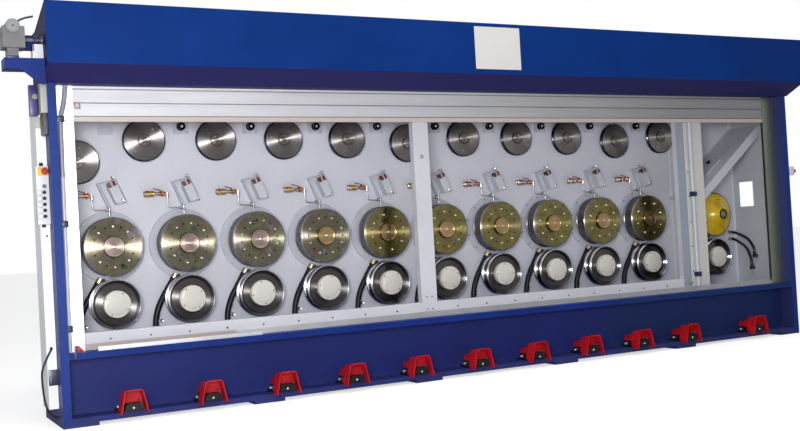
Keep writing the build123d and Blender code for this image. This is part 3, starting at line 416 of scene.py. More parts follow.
def shutter_material():
    """Slats with dark joints, painted shade that darkens them towards the right, and a cream bar along the
    bottom.
    """
    shader = Shader("slat_paint")
    tone = shader.ramp(shader.noise(1.6, 3.0, (1, 1, 12)), "Fac", (
        (0.3, linear(222, 222, 226)), (0.7, linear(236, 236, 240)),
    ))
    parts = shader.parts()
    rise = shader.spread(parts, "Z", 0.5, 1.5, JOINT_Z, NEXT_JOINT_Z)
    rise.clamp = False
    part = shader.node("ShaderNodeMath", operation="FRACT")
    shader.link(rise, "Result", part, 0)
    away = shader.node("ShaderNodeMath", operation="ABSOLUTE")
    shader.link(shader.calculate("SUBTRACT", part, "Value", 0.5), "Value", away, 0)
    joint = shader.ramp(away, "Value", tuple(
        (place, (dark, dark, dark, 1)) for place, dark in
        ((0.03, 0.62), (0.05, 0.0), (0.2, 0.0), (0.215, 0.12), (0.24, 0.0))
    ))
    out = shader.mix((joint, "Color"), (tone, "Color"), linear(62, 62, 96))
    out = shader.mix((shader.side("Object", "Z", BAR_LINE_Z), "Value"), out, linear(110, 100, 106))
    # Painted shade: the slats darken towards the right, where the light falls off
    painted_falloff = shader.spread(parts, "X", 0.98, 0.38, -2.6, 2.2)
    out = shader.mix(1.0, out, (painted_falloff, "Result"), "MULTIPLY")
    out = shader.mix((shader.side("Object", "Z", BAR_TOP_Z), "Value"), out, linear(206, 192, 184))
    shader.colour_from(out)
    fine = shader.noise(80.0, 3.0, (0.3, 1, 1))
    shader.rough(fine, 0.36, 0.5)
    shader.bump(fine, 0.0001, 0.5)
    return shader.material


carried = {
    "base_plinth": BASE_BLUE,
    "base_feet": BASE_BLUE,
    "corner_posts": BLUE,
    "shutter_guides": GUIDE,
    "roller_shutter": shutter_material(),
    "back_wall": WALL,
    "end_walls": END_WALL,
    "bottom_rail": RAIL,
    "sill_strips": STRIP,
    "mullions": POST,
    "hood": HOOD_BLUE,
    "hood_plate": SIGN,
    "rear_housing": BLUE,
    "bearing_flanges": RING,
    "die_holders": TRAY,
    "water_valves": VALVE_BRASS,
    "nozzles": RING,
    "hoses": HOSE,
    "hose_fittings": DRAIN,
    "pedal_guards": RED,
    "pedal_bases": BLACK,
    "wire_deflector": TRAY,
    "cable_duct": DUCT,
    "control_boxes": WHITE,
    "drive_shelf": BASE_BLUE,
    "shutter_drive": GEAR_GREY,
    "conduits": CONDUIT,
}
for number in range(COLUMNS + 1):
    carried[f"block_{number + 1:02d}"] = DRUM
    carried[f"lower_pulley_{number + 1:02d}"] = LOWER
    carried[f"upper_pulley_{number:02d}"] = UPPER


def smooth(mesh, angle):
    for polygon in mesh.polygons:
        polygon.use_smooth = True
    mesh.set_sharp_from_angle(angle=math.radians(angle))


for name, material in carried.items():
    data = NODES[name].data
    if data.materials:
        for place in range(len(data.materials)):
            data.materials[place] = material
    else:
        data.materials.append(material)
for node in NODES.values():
    smooth(node.data, SHARP_NODE)


def skin(mesh, rows, capped=False):
    """Faces between rows of vertices; a row of one vertex is a tip."""
    steps = max(len(row) for row in rows)
    for row, following in zip(rows, rows[1:]):
        for step in range(steps):
            after = (step + 1) % steps
            corners = []
            for corner in (
                row[step % len(row)], row[after % len(row)],
                following[after % len(following)], following[step % len(following)],
            ):
                if corner not in corners:
                    corners.append(corner)
            if len(corners) > 2:
                mesh.faces.new(corners)
    if capped:
        mesh.faces.new(list(reversed(rows[0])))
        mesh.faces.new(rows[-1])


def circle(mesh, middle, side, other, radius, steps):
    """Row of vertices round a point, in the plane of two unit vectors."""
    row = []
    for step in range(steps):
        angle = math.tau * step / steps
        row.append(mesh.verts.new(middle + (side * math.cos(angle) + other * math.sin(angle)) * radius))
    return row


def bevelled(mesh, bevel):
    if bevel:
        bmesh.ops.bevel(mesh, geom=mesh.edges[:], offset=bevel, segments=2, profile=0.6, affect="EDGES")


class Piece:
    """Collects shapes given in millimetres and makes one object of them."""

    def __init__(self):
        self.mesh = bmesh.new()

    def add(self, other):
        """Take over the faces of a scratch mesh."""
        scratch = bpy.data.meshes.new("scratch")
        other.to_mesh(scratch)
        other.free()
        self.mesh.from_mesh(scratch)
        bpy.data.meshes.remove(scratch)
        return self

    def box(self, x0, x1, y0, y1, z0, z1, bevel=0.0, turn=None):
        scratch = bmesh.new()
        bmesh.ops.create_cube(scratch, size=1.0)
        size = (x1 - x0, y1 - y0, z1 - z0)
        for vert in scratch.verts:
            vert.co = Vector([co * s for co, s in zip(vert.co, size)])
        bevelled(scratch, bevel)
        if turn is not None:
            scratch.transform(turn)
        scratch.transform(Matrix.Translation(((x0 + x1) / 2, (y0 + y1) / 2, (z0 + z1) / 2)))
        return self.add(scratch)

    def prism(self, outline, y0, y1, bevel):
        """(x, z) outline from y0 in front to y1 behind."""
        scratch = bmesh.new()
        rows = [[scratch.verts.new((x, y, z)) for x, z in outline] for y in (y0, y1)]
        skin(scratch, rows, capped=True)
        bmesh.ops.recalc_face_normals(scratch, faces=scratch.faces[:])
        bevelled(scratch, bevel)
        return self.add(scratch)

    def rod(self, start, end, radius, steps=16, tip=0.0):
        """Round bar, its ends chamfered by tip."""
        start, end = Vector(start), Vector(end)
        length = (end - start).length
        outline = [(0.0, 0.0), (radius, 0.0), (radius, length), (0.0, length)]
        if tip:
            outline = [
                (0.0, 0.0), (radius - tip, 0.0), (radius, tip),
                (radius, length - tip), (radius - tip, length), (0.0, length),
            ]
        return self.lathe(start, end - start, outline, steps)

    def lathe(self, start, direction, outline, steps):
        """Turned shape: outline is (radius, distance along direction) from the axis and back to it."""
        direction = Vector(direction).normalized()
        side = direction.orthogonal().normalized()
        other = direction.cross(side)
        scratch = bmesh.new()
        rows = []
        for radius, along in outline:
            middle = Vector(start) + direction * along
            if radius:
                rows.append(circle(scratch, middle, side, other, radius, steps))
            else:
                rows.append([scratch.verts.new(middle)])
        skin(scratch, rows)
        bmesh.ops.recalc_face_normals(scratch, faces=scratch.faces[:])
        return self.add(scratch)

    def turned(self, x, z, outline, steps):
        """Turned shape about an axis along Y; outline is (radius, y)."""
        return self.lathe((x, 0, z), (0, 1, 0), outline, steps)

    def standing(self, x, y, z, outline, steps):
        """Turned shape that stands out of a face towards the front; outline is (radius, height)."""
        return self.lathe((x, y, z), (0, -1, 0), outline, steps)

    def tube(self, points, radius):
        """Pipe along points whose corners are cut smooth."""
        path = [Vector(point) for point in points]
        for _ in range(3):
            cut = [path[0]]
            for start, end in zip(path, path[1:]):
                cut += [start.lerp(end, 0.25), start.lerp(end, 0.75)]
            path = cut + [path[-1]]
        scratch = bmesh.new()
        rows = []
        side = None
        for index, point in enumerate(path):
            ahead = (path[min(index + 1, len(path) - 1)] - path[max(index - 1, 0)]).normalized()
            side = ahead.orthogonal() if side is None else side - ahead * side.dot(ahead)
            side.normalize()
            rows.append(circle(scratch, point, side, ahead.cross(side), radius, 12))
        skin(scratch, rows, capped=True)
        return self.add(scratch)

    def bolt(self, x, y, z, radius, height):
        """Socket head that stands out of a face towards the front."""
        chamfer = radius * 0.18
        return self.standing(x, y, z, (
            (0, -1), (radius, -1), (radius, height - chamfer), (radius - chamfer, height),
            (radius * 0.55, height), (radius * 0.5, height * 0.45), (0, height * 0.45),
        ), 12)

    def screw(self, x, y, z, radius, height):
        """Low domed screw head."""
        return self.standing(x, y, z, (
            (0, -0.5), (radius, -0.5), (radius, height * 0.4), (radius * 0.7, height * 0.9), (0, height),
        ), 12)

    def hole(self, x, y, z, radius, depth):
        """Dish on a disc's face at y, painted dark as painted shade, which shows as a hole."""
        return self.turned(x, z, (
            (0, y - 0.1), (radius - 2.2, y - 0.1), (radius - 1.8, y - depth), (radius - 0.4, y - depth),
            (radius, y + depth), (0, y + depth),
        ), 16)

    def hexagon(self, start, direction, radius, length):
        """Six-sided nut with chamfered ends along a direction."""
        return self.rod(start, Vector(start) + Vector(direction) * length, radius, 6, radius * 0.15)

    def make(self, name, material, slot, body=FRAME_BODY, angle=SHARP):
        self.mesh.transform(Matrix.Scale(MM, 4))
        bmesh.ops.recalc_face_normals(self.mesh, faces=self.mesh.faces[:])
        data = bpy.data.meshes.new(name)
        self.mesh.to_mesh(data)
        self.mesh.free()
        data.materials.append(material)
        smooth(data, angle)
        piece = bpy.data.objects.new(name, data)
        bpy.context.scene.collection.objects.link(piece)
        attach(piece, body)
        return piece


def ring_of(make, x, y, z, away, count, offset, size, height):
    """A ring of bolts, screws or holes round (x, z), offset in degrees from the top."""
    for step in range(count):
        angle = math.radians(offset + 360.0 * step / count)
        make(x + away * math.sin(angle), y, z + away * math.cos(angle), size, height)


# Drawing blocks: a plated disc, the hub disc, a ring of bolts and a ring of holes between them, the holes
# drawn as dark dishes of painted shade.
# Painted light: the first ones, near the light, have tones of disc and hub painted for it, and the others
# have tones painted for being far from it
DISC_Y = BLOCK_FRONT_Y - 2.0
DISC_RADIUS = 184.0
BOLT_CIRCLE = 132.0
BLOCK_BOLTS = 8
BOLT_TURN = 8.0  # degrees from one block to the next
NEAR_DISCS = 4
NEAR_HUBS = 3
for index, x in enumerate(columns[:COLUMNS]):
    tag = f"{index + 1:02d}"
    body = f"block_{tag}_body"
    bore, back_y = 66.0, BLOCK_FRONT_Y + 1.0
    disc = Piece().turned(x, AXIS_Z, (
        (bore, back_y), (bore, DISC_Y), (DISC_RADIUS - 3, DISC_Y), (DISC_RADIUS, DISC_Y + 1.2),
        (DISC_RADIUS, back_y), (bore, back_y),
    ), 96)
    plate = PLATE_PAINTED_NEAR_LIGHT if index < NEAR_DISCS else PLATE_PAINTED_FAR_LIGHT
    disc.make(f"disc_{tag}", plate, "plate_steel", body, SHARP_DISC)
    hub = Piece().turned(x, AXIS_Z, (
        (0, -1), (6, -1), (9, -2), (54, -2), (58, -4), (65, -4), (68.6, -1),
        (68.6, 12), (0, 12),
    ), 64)
    hub.make(f"hub_{tag}", HUB_PAINTED_NEAR_LIGHT if index < NEAR_HUBS else HUB_PAINTED_FAR_LIGHT, "brass", body, SHARP_HUB)
    bolts = Piece()
    ring_of(bolts.bolt, x, DISC_Y, AXIS_Z, BOLT_CIRCLE, BLOCK_BOLTS, BOLT_TURN * index, 7.0, 6.0)
    bolts.turned(x, AXIS_Z, ((0, -3.4), (6, -3.4), (8, -2.4), (8, -1), (0, -1)), 24)
    bolts.make(f"disc_bolts_{tag}", STEEL, "steel", body)
    # Holes: dark dishes of painted shade
    holes = Piece()
    between = BOLT_TURN * index + 180.0 / BLOCK_BOLTS
    ring_of(holes.hole, x, DISC_Y, AXIS_Z, BOLT_CIRCLE, BLOCK_BOLTS, between, 6.4, 0.5)
    holes.make(f"disc_hole_shade_{tag}", BLACK_AND_HOLE_SHADE, "black_plastic", body)

# Exit block: a painted cone with bolts round a dark boss with a ring
body = "block_11_body"
Piece().turned(LAST_X, AXIS_Z, (
    (43, -70), (43, -85), (45, -85.5), (63, -54), (97, -20), (141, 2.4),
    (182, 13.4), (DISC_RADIUS, 15.4), (DISC_RADIUS, 16), (140, 5), (96, -17), (62, -51),
    (43, -70),
), 96).make("disc_11", YELLOW, "yellow_paint", body)
bolts = Piece()
ring_of(bolts.bolt, LAST_X, 0.5, AXIS_Z, BOLT_CIRCLE, BLOCK_BOLTS, 14.0, 6.5, 5.0)
bolts.make("disc_bolts_11", DARK_STEEL, "steel", body)
Piece().turned(LAST_X, AXIS_Z, (
    (0, -80), (28, -80), (29, -87.4), (32, -88), (43, -88), (45, -86), (44.6, -70),
    (0, -70),
), 64).make("boss_11", BLACK, "black_plastic", body)
Piece().turned(LAST_X, AXIS_Z, (
    (12, -80.5), (12, -84), (24, -84), (25, -83), (25, -79), (12, -80.5),
), 48).make("boss_ring_11", DARK_STEEL, "steel", body)

# Guide pulleys: hub covers with four screws in a lower rim
COVER_RIM_Y = -8.0
COVER_SCREW_CIRCLE = 76.0
for index, x in enumerate(columns):
    tag = f"{index + 1:02d}"
    body = f"lower_pulley_{tag}_body"
    Piece().turned(x, PULLEY_Z, (
        (0, -11), (60, -11), (63.5, -10.2), (65.5, -8.6), (66.5, COVER_RIM_Y), (85.5, COVER_RIM_Y),
        (87.8, -6.4), (87.8, 24), (0, 24),
    ), 64).make(f"hub_cover_{tag}", COVER, "cream_paint", body)
    screws = Piece()
    ring_of(screws.screw, x, COVER_RIM_Y, PULLEY_Z, COVER_SCREW_CIRCLE, 4, 30.0 + 25.0 * index, 4.5, 2.0)
    screws.make(f"cover_screws_{tag}", DARK_STEEL, "steel", body)

# Deflecting pulleys: screws in hub and web, a groove round the hub and the bright back edge
UPPER_HUB_Y = 100.0
UPPER_WEB_Y = 103.0
for index, (x, z) in enumerate(uppers):
    tag = f"{index:02d}"
    body = f"upper_pulley_{tag}_body"
    bolts = Piece()
    ring_of(bolts.bolt, x, UPPER_HUB_Y, z, 24.0, 3, 20.0 + 37.0 * index, 4.0, 2.0)
    ring_of(bolts.screw, x, UPPER_WEB_Y, z, 96.0, 2, 11.0 + 29.0 * index, 4.0, 1.6)
    bolts.turned(x, z, ((0, 98.5), (7, 98.5), (8.5, 100.5), (0, 100.5)), 20)
    bolts.make(f"hub_bolts_{tag}", ZINC, "steel", body)
    Piece().turned(x, z, (
        (37.6, 111), (37.6, 109.2), (41, 108.8), (43.6, 109.2), (43.6, 111), (37.6, 111),
    ), 48).make(f"hub_groove_{tag}", DARK_STEEL, "black_plastic", body)
    Piece().turned(x, z, (
        (139, 130.6), (142.2, 130.6), (143, 132), (143, 136), (142.2, 137.4), (139, 137.4),
        (139, 130.6),
    ), 72).make(f"back_edge_{tag}", ZINC, "steel", body)

# Bolts round the wall flanges
FLANGE_BOLTS = 12
FLANGE_CIRCLE = 222.0
bolts = Piece()
for x in columns:
    ring_of(bolts.bolt, x, FLANGE_Y, AXIS_Z, FLANGE_CIRCLE, FLANGE_BOLTS, 15.0, 5.0, 4.5)
bolts.make("flange_bolts", BOLT, "steel")

# Water valves: hose tail, brass body, lever valve, elbow and the pipe to the outlet, all in one plane
VALVE_Y = WALL_Y - 46.0
VALVE_Z = AXIS_Z + 340.0
OUTLET_Z = AXIS_Z + 244.0


def inline(x, rise=0.0):
    """Place in the valves' own line."""
    return (x, VALVE_Y, VALVE_Z + rise)


def outlet(x, rise=0.0):
    """Place at the height of the outlet under them."""
    return (x, VALVE_Y, OUTLET_Z + rise)


bodies, rings, pipes, coppers, levers = (Piece() for _ in range(5))
along = (1, 0, 0)
lever_turn = Matrix.Rotation(math.radians(14.0), 4, "Y")
for x in columns[:COLUMNS]:
    rings.lathe(inline(x - 262.0), along, (
        (0, 3), (11, 3), (13, 0), (18, 0), (20, 3), (20, 12), (18, 14), (0, 14),
    ), 24)
    rings.rod(inline(x - 199.0), inline(x - 189.0), 18.0, 20, 3.0)
    bodies.hexagon(inline(x - 248.0), along, 23.0, 16.0)
    bodies.rod(inline(x - 232.0), inline(x - 199.0), 20.0, 24, 4.0)
    bodies.rod(inline(x - 216.0), (x - 216.0, WALL_Y, VALVE_Z), 12.0)
    bodies.turned(x - 216.0, VALVE_Z, ((0, 152), (20, 152), (22, 155), (22, WALL_Y), (0, WALL_Y)), 24)
    pipes.rod(inline(x - 188.0), inline(x - 156.0), 10.0)
    coppers.hexagon(inline(x - 160.0), along, 17.0, 12.0)
    coppers.rod(inline(x - 148.0), inline(x - 128.0), 19.0, 20, 4.0)
    coppers.rod(inline(x - 138.0), inline(x - 138.0, 25.0), 7.0, 12, 1.5)
    coppers.hexagon(inline(x - 129.0), along, 14.0, 11.0)
    levers.box(
        x - 200.0, x - 132.0, VALVE_Y - 6.0, VALVE_Y + 6.0, VALVE_Z + 25.0, VALVE_Z + 30.0, 2.0, lever_turn,
    )
    pipes.rod(inline(x - 119.0), inline(x - 100.0), 8.0, 14)
    rings.rod(inline(x - 104.0, 9.0), inline(x - 104.0, -30.0), 10.0, 16, 2.0)
    pipes.tube((
        inline(x - 104.0, -28.0), outlet(x - 104.0, 48.0), outlet(x - 102.0, 12.0),
        outlet(x - 88.0), outlet(x - 54.0), outlet(x - 22.0),
    ), 3.9)
    rings.rod(outlet(x - 22.0), outlet(x - 4.0), 9.0, 14, 1.5)
    pipes.lathe(outlet(x + 6.0, 14.0), (0, 0, -1), (
        (0, 0), (6, 0), (8, 3), (8, 24), (6, 28), (6, 44), (8, 46), (8, 55), (5, 55), (5, 46), (0, 46),
    ), 20)
    pipes.rod(outlet(x + 6.0, 2.0), (x + 6.0, WALL_Y, OUTLET_Z + 2.0), 7.0, 12)
    pipes.turned(x + 6.0, OUTLET_Z + 2.0, ((0, 154), (14, 154), (15, 155), (15, WALL_Y), (0, WALL_Y)), 20)
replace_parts(bodies.make("valve_bodies", VALVE_BRASS, "brass"), "water_valves")
rings.make("valve_rings", ZINC, "steel")
pipes.make("water_pipes", PIPE, "steel")
coppers.make("lever_valves", COPPER, "brass")
levers.make("valve_levers", LEVER_RED, "red_paint")

# Lines of painted shade along the edges of a die holder's tray, each from one (x, y, z) to another; x is from
# the block's axis
TRAY_LINES = (
    ((1, 123.6, 1322), (-66, 123.6, 1480)), ((10, 147.6, 1324), (-57, 147.6, 1482)),
    ((-66, 147.6, 1480), (67, 147.6, 1510)), ((67, 147.6, 1510), (131, 147.6, 1353)),
    ((20, 147.6, 1328), (-48, 147.6, 1482)),
)

# Die holders: a clamp over the die block, two knobs, the tray's screws, and grey rods along the tray's edges
# as painted shade
clamps, pads, knobs, lines = (Piece() for _ in range(4))
tray_tilt = Matrix.Rotation(math.radians(-23.0), 4, "Y")
for x in columns[:COLUMNS]:
    clamps.box(x - 6.0, x + 46.0, 70.0, 104.0, 1456.0, 1490.0, 3.0, tray_tilt)
    pads.box(x + 14.0, x + 26.0, 67.5, 74.0, 1454.0, 1492.0, 1.5, tray_tilt)
    for side, z in ((34.0, 1521.0), (106.0, 1362.0)):
        knobs.turned(x + side, z, (
            (0, 96), (5, 95), (9, 98), (10, 104), (9, 112), (5, 116), (5, WALL_Y), (0, WALL_Y),
        ), 20)
    knobs.turned(x + 84.0, 1366.0, ((0, 66), (4, 65), (7, 67), (8, 71), (7, 78), (0, 78)), 20)
    for side, z in ((-40.0, 1462.0), (4.0, 1350.0), (-22.0, 1414.0)):
        knobs.screw(x + side, 148.0, z, 4.5, 2.0)
    column = Vector((x, 0, 0))
    for start, end in TRAY_LINES:
        lines.rod(column + Vector(start), column + Vector(end), 1.7, 8)
lines.make("tray_edge_shade", EDGE_SHADE, "grey_paint")
clamps.make("die_clamps", CLAMP_BROWN, "steel")
pads.make("die_clamp_pads", CLAMP_PINK, "cream_paint")
knobs.make("die_knobs", STEEL, "steel")

# Nozzles: a dark ring round a pale insert, and screws in their plates and in the bare first plate
NOZZLE_Z = 1860.0
NOZZLE_PLATE_Y = 156.0
NOZZLE_SHIFT = 24.0
rings, inserts, screws = Piece(), Piece(), Piece()
for column in columns[1:COLUMNS]:
    x = column + NOZZLE_SHIFT
    rings.turned(x, NOZZLE_Z, (
        (0, 125.8), (9, 125.8), (10, 124.6), (24, 124.4), (27.8, 127), (27.8, 150), (29, 152),
        (29, 156.5), (0, 156.5),
    ), 32)
    inserts.turned(x, NOZZLE_Z, ((0, 123.6), (6, 123.8), (8.8, 124.9), (9.4, 126.2), (0, 126.2)), 24)
    for side in (-40.0, 40.0):
        screws.bolt(x + side, NOZZLE_PLATE_Y, NOZZLE_Z - 36.0, 5.0, 4.0)
ring_of(screws.screw, FIRST_X + 15.0, NOZZLE_PLATE_Y, NOZZLE_Z - 23.0, 44.0, 2, 90.0, 4.0, 2.0)
rings.make("nozzle_rings", BLACK_AND_HOLE_SHADE, "black_plastic")
inserts.make("nozzle_inserts", COVER, "cream_paint")
screws.make("nozzle_screws", ZINC, "steel")

# Ring knobs on the wall at both lower sides of each guide pulley
knobs = Piece()
for x in columns:
    for side, drop in ((-172.0, 140.0), (150.0, 112.0)):
        knobs.turned(x + side, PULLEY_Z - drop, (
            (5, 150), (6, 146), (11, 144), (13, 147), (13, WALL_Y), (0, WALL_Y), (0, 153), (5, 150),
        ), 20)
knobs.make("wall_knobs", ZINC, "steel")

# Drain hoses: a black clamp along the first run of each, and a block beside its top
clips = Piece()
for x in columns[:COLUMNS]:
    top, low = Vector((x - 72.0, 123.7, AXIS_Z - 205.0)), Vector((x - 132.0, 123.7, AXIS_Z - 300.0))
    downhill = (low - top).normalized()
    clips.rod(top + downhill * 30.0, top + downhill * 42.0, 23.0, 24, 2.0)
    clips.box(x - 62.0, x - 44.0, 116.0, 146.0, AXIS_Z - 226.0, AXIS_Z - 206.0, 2.0)
clips.make("hose_clips", BLACK, "black_plastic")

# Hoses of the exit bay: brass at the wall and over the dark crimps at the low ends
brass, crimps = Piece(), Piece()
wall_x, low_x = END_X - 90.0, END_X - 27.0
for top_drop, low_y, low_drop in ((167.0, -70.0, 372.0), (228.0, -30.0, 476.0)):
    top_z, low_z = AXIS_Z - top_drop, AXIS_Z - low_drop
    brass.hexagon((wall_x, WALL_Y, top_z), (0, -1, 0), 16.0, 14.0)
    brass.rod((wall_x, WALL_Y - 14.0, top_z), (wall_x, WALL_Y - 38.0, top_z), 14.0, 20, 2.0)
    crimps.rod((low_x, low_y, low_z + 1.0), (low_x, low_y, low_z + 30.0), 13.5, 20, 2.0)
    brass.rod((low_x, low_y, low_z + 28.0), (low_x, low_y, low_z + 36.0), 13.0, 20, 1.5)
brass.make("exit_hose_ends", EXIT_BRASS, "brass")
crimps.make("exit_hose_crimps", BLACK, "black_plastic")

# Exit bay: corner strips, the rod and the fitting on the deflector's upper face, small parts on the deck
strips = Piece().box(END_X - 20.0, END_X, 154.0, WALL_Y, DECK_Z, SOFFIT_Z, 1.0)
strips.box(2322.0, 2332.0, 156.0, WALL_Y, DECK_Z + 20.0, SOFFIT_Z, 1.0)
strips.make("wall_strips", WHITE, "pale_grey_paint")
rod = Piece().rod((2679.5, -82.0, 1541.0), (2514.5, -82.0, 1409.0), 7.0, 16, 1.5)
rod.make("guide_rod", STEEL, "steel")
away = Vector((-0.626, 0.0, 0.78))
seat = Vector((2666.0, 30.0, 1515.5)) + away * 4.0
fitting = Piece().rod(seat, seat + away * 26.0, 19.0, 24, 3.0)
fitting.make("deflector_fitting", BLACK, "black_plastic")
cap = Piece().rod(seat + away * 25.0, seat + away * 29.0, 10.0, 20, 1.0)
cap.make("deflector_cap", COVER, "cream_paint")
small = Piece().box(2360.0, 2700.0, -268.0, -252.0, DECK_Z, DECK_Z + 7.0, 2.0)
small.box(2392.0, 2412.0, -276.0, -240.0, DECK_Z, DECK_Z + 26.0, 3.0)
small.box(2440.0, 2455.0, -270.0, -246.0, DECK_Z, DECK_Z + 22.0, 3.0)
small.box(2700.0, 2980.0, -150.0, -138.0, DECK_Z, DECK_Z + 10.0, 2.0)
small.make("deck_cable", BLACK, "black_plastic")

# Screws of the rail, the centre mullion and the strip beside the right one; the rail's row stops
# at the exit bay and leaves out the mullion's foot
RAIL_SCREWS = 20
RAIL_SCREW_PITCH = 250.0
RAIL_SCREW_Z = 500.0
MULLION_FOOT = (FIRST_X + 2070.0, FIRST_X + 2225.0)
RAIL_END_X = FIRST_X + 4640.0
STRIP_SCREWS = (
    (2111, 1428), (2111, 1223), (2112, 1013), (2110, 810), (2105, 603), (2089, 509),
)
screws = Piece()
for step in range(RAIL_SCREWS):
    x = FIRST_X - 115.0 + RAIL_SCREW_PITCH * step
    if not MULLION_FOOT[0] < x < MULLION_FOOT[1] and x < RAIL_END_X:
        screws.bolt(x, RAIL_Y, RAIL_SCREW_Z, 6.0, 3.5)
for side in (2128.0, 2170.0):
    for z in (497.0, 584.0):
        screws.bolt(FIRST_X + side, MULLION_Y, z, 5.0, 3.0)
for x, z in STRIP_SCREWS:
    screws.bolt(x, MULLION_Y, z, 5.5, 3.5)
screws.make("rail_bolts", DARK_STEEL, "steel")
Piece().bolt(-416.4, MULLION_Y, 1591.2, 15.0, 6.0).make("mullion_bolt", ZINC, "steel")

# Blocks with two ribs round the conduits at the left end and on the right mullion
clamps = Piece()
for x, z, half, front_y, back_y in (
    (FIRST_X - 359.5, 1850.0, 20.0, -350.0, -312.0),
    (FIRST_X - 365.0, 1215.0, 20.0, -350.0, -312.0),
    (FIRST_X - 369.9, 584.0, 20.0, -350.0, -312.0),
    (FIRST_X + 4702.0, 578.0, 22.0, -330.0, MULLION_Y),
    (FIRST_X + 4702.0, 1243.0, 22.0, -330.0, MULLION_Y),
):
    clamps.box(x - half, x + half, front_y, back_y, z - 20.0, z + 20.0, 5.0)
    rib = half + 2.5
    for rise in (-9.0, 9.0):
        clamps.box(x - rib, x + rib, front_y - 2.0, back_y, z + rise - 4.0, z + rise + 4.0, 2.0)
clamps.make("conduit_clamps", NAVY, "black_plastic")

# Control box at the left end and the small stop box on the right end
BOX_LOW_Z = 1219.0
BOX_TOP_Z = 1569.0
STOP_Y = -370.0
STOP_Z = 1405.0
KEYS = 5
KEY_TOP_Z = 1411.0
KEY_PITCH = 36.0
cases = Piece().box(LEFT_X - 74.0, LEFT_X, BOX_Y, DUCT_Y, BOX_LOW_Z, BOX_TOP_Z, 5.0)
cases.box(RIGHT_X, RIGHT_X + 62.0, STOP_Y - 35.0, STOP_Y + 35.0, STOP_Z - 38.0, STOP_Z + 38.0, 5.0)
cases.rod((RIGHT_X + 60.0, STOP_Y, STOP_Z), (RIGHT_X + 66.0, STOP_Y, STOP_Z), 24.0, 28, 1.5)
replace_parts(cases.make("control_cases", WHITE, "pale_grey_paint"), "control_boxes")

# Stop button on its bare yellow label, the one on the right end, and the start button
label = Piece().box(FIRST_X - 505.0, FIRST_X - 446.0, BOX_Y - 1.5, BOX_Y + 0.5, 1512.0, 1562.0, 0.6)
label.make("stop_label", LABEL_YELLOW, "yellow_paint")
stop = Piece().standing(FIRST_X - 466.0, BOX_Y - 1.0, 1537.0, (
    (0, 0), (9, 0), (9, 10), (19, 12), (20, 18), (17, 23), (0, 25),
), 28)
stop.lathe((RIGHT_X + 66.0, STOP_Y, STOP_Z), (1, 0, 0), (
    (0, 0), (11, 0), (11, 16), (19, 19), (20, 28), (18, 35), (0, 38),
), 28)
stop.make("stop_buttons", RED, "red_paint")
start = Piece().standing(FIRST_X - 470.0, BOX_Y, 1448.0, ((0, 0), (12, 0), (12, 7), (10, 9), (0, 9)), 24)
start.make("start_button", GREEN, "black_plastic")

# Keys with bare framed labels, the box's glands, plugs in the duct, and the cable and bracket at its foot
keys, labels, frames = Piece(), Piece(), Piece()
for step in range(KEYS):
    z = KEY_TOP_Z - KEY_PITCH * step
    keys.standing(FIRST_X - 472.0, BOX_Y, z, ((0, 0), (11, 0), (11, 6), (9, 8), (0, 8)), 24)
    labels.box(FIRST_X - 511.0, FIRST_X - 485.0, BOX_Y - 1.2, BOX_Y + 0.4, z - 14.0, z + 14.0, 0.5)
    frames.box(FIRST_X - 513.0, FIRST_X - 483.0, BOX_Y - 0.4, BOX_Y + 0.6, z - 16.5, z + 16.5, 0.3)
for start_z, end_z in ((BOX_TOP_Z, BOX_TOP_Z + 21.0), (BOX_LOW_Z, BOX_LOW_Z - 17.0)):
    keys.rod((FIRST_X - 480.0, -301.0, start_z), (FIRST_X - 480.0, -301.0, end_z), 11.0, 20, 2.0)
keys.standing(FIRST_X - 462.0, DUCT_Y, 1149.0, ((0, 0), (6, 0), (6, 3), (0, 4)), 16)
keys.standing(FIRST_X - 471.0, DUCT_Y, 474.0, ((0, 0), (9, 0), (9, 8), (0, 9)), 16)
keys.tube([(FIRST_X - side, y, z) for side, y, z in (
    (471, -288, 470), (520, -292, 380), (536, -286, 320), (520, -284, 120),
    (470, -284, 60), (440, -284, 60),
)], 6.0)
keys.make("control_keys", BLACK, "black_plastic")
labels.make("key_labels", WHITE, "pale_grey_paint")
frames.make("key_frames", GREY, "grey_paint")
bracket = Piece().box(FIRST_X - 494.0, FIRST_X - 441.0, DUCT_Y - 10.0, DUCT_Y, 252.0, 346.0, 3.0)
bracket.box(FIRST_X - 488.0, FIRST_X - 466.0, DUCT_Y - 18.0, DUCT_Y - 8.0, 262.0, 300.0, 2.0)
bracket.make("lock_bracket", NAVY, "black_plastic")

# Junction box with its cap, the cover strip and the latch at the top of the duct
JUNCTION_Z = 1870.0
case = Piece().box(FIRST_X - 532.0, FIRST_X - 484.0, -324.0, DUCT_Y, JUNCTION_Z, SOFFIT_Z, 4.0)
case.make("junction_case", VIOLET, "blue_paint")
cap = Piece().standing(FIRST_X - 500.0, -323.0, 1986.0, ((0, 0), (17, 0), (17, 4), (13, 6), (0, 6)), 28)
cap.make("junction_cap", GREY, "grey_paint")
strip = Piece().box(FIRST_X - 480.0, LEFT_X, -398.0, DUCT_Y, 1880.0, SOFFIT_Z, 2.0)
strip.box(FIRST_X - 498.0, FIRST_X - 446.0, DUCT_Y - 2.5, DUCT_Y, 1800.0, JUNCTION_Z, 1.0)
strip.make("cover_strip", PALE_GREY, "grey_paint")
latch = Piece().box(FIRST_X - 470.0, LEFT_X, -396.0, DUCT_Y, 1752.0, 1878.0, 4.0)
latch.tube([(FIRST_X - side, y, z) for side, y, z in (
    (456, -400, 1866), (468, -400, 1830), (462, -400, 1770), (476, -396, 1736),
)], 5.0)
latch.make("duct_latch", DARK_STEEL, "steel")

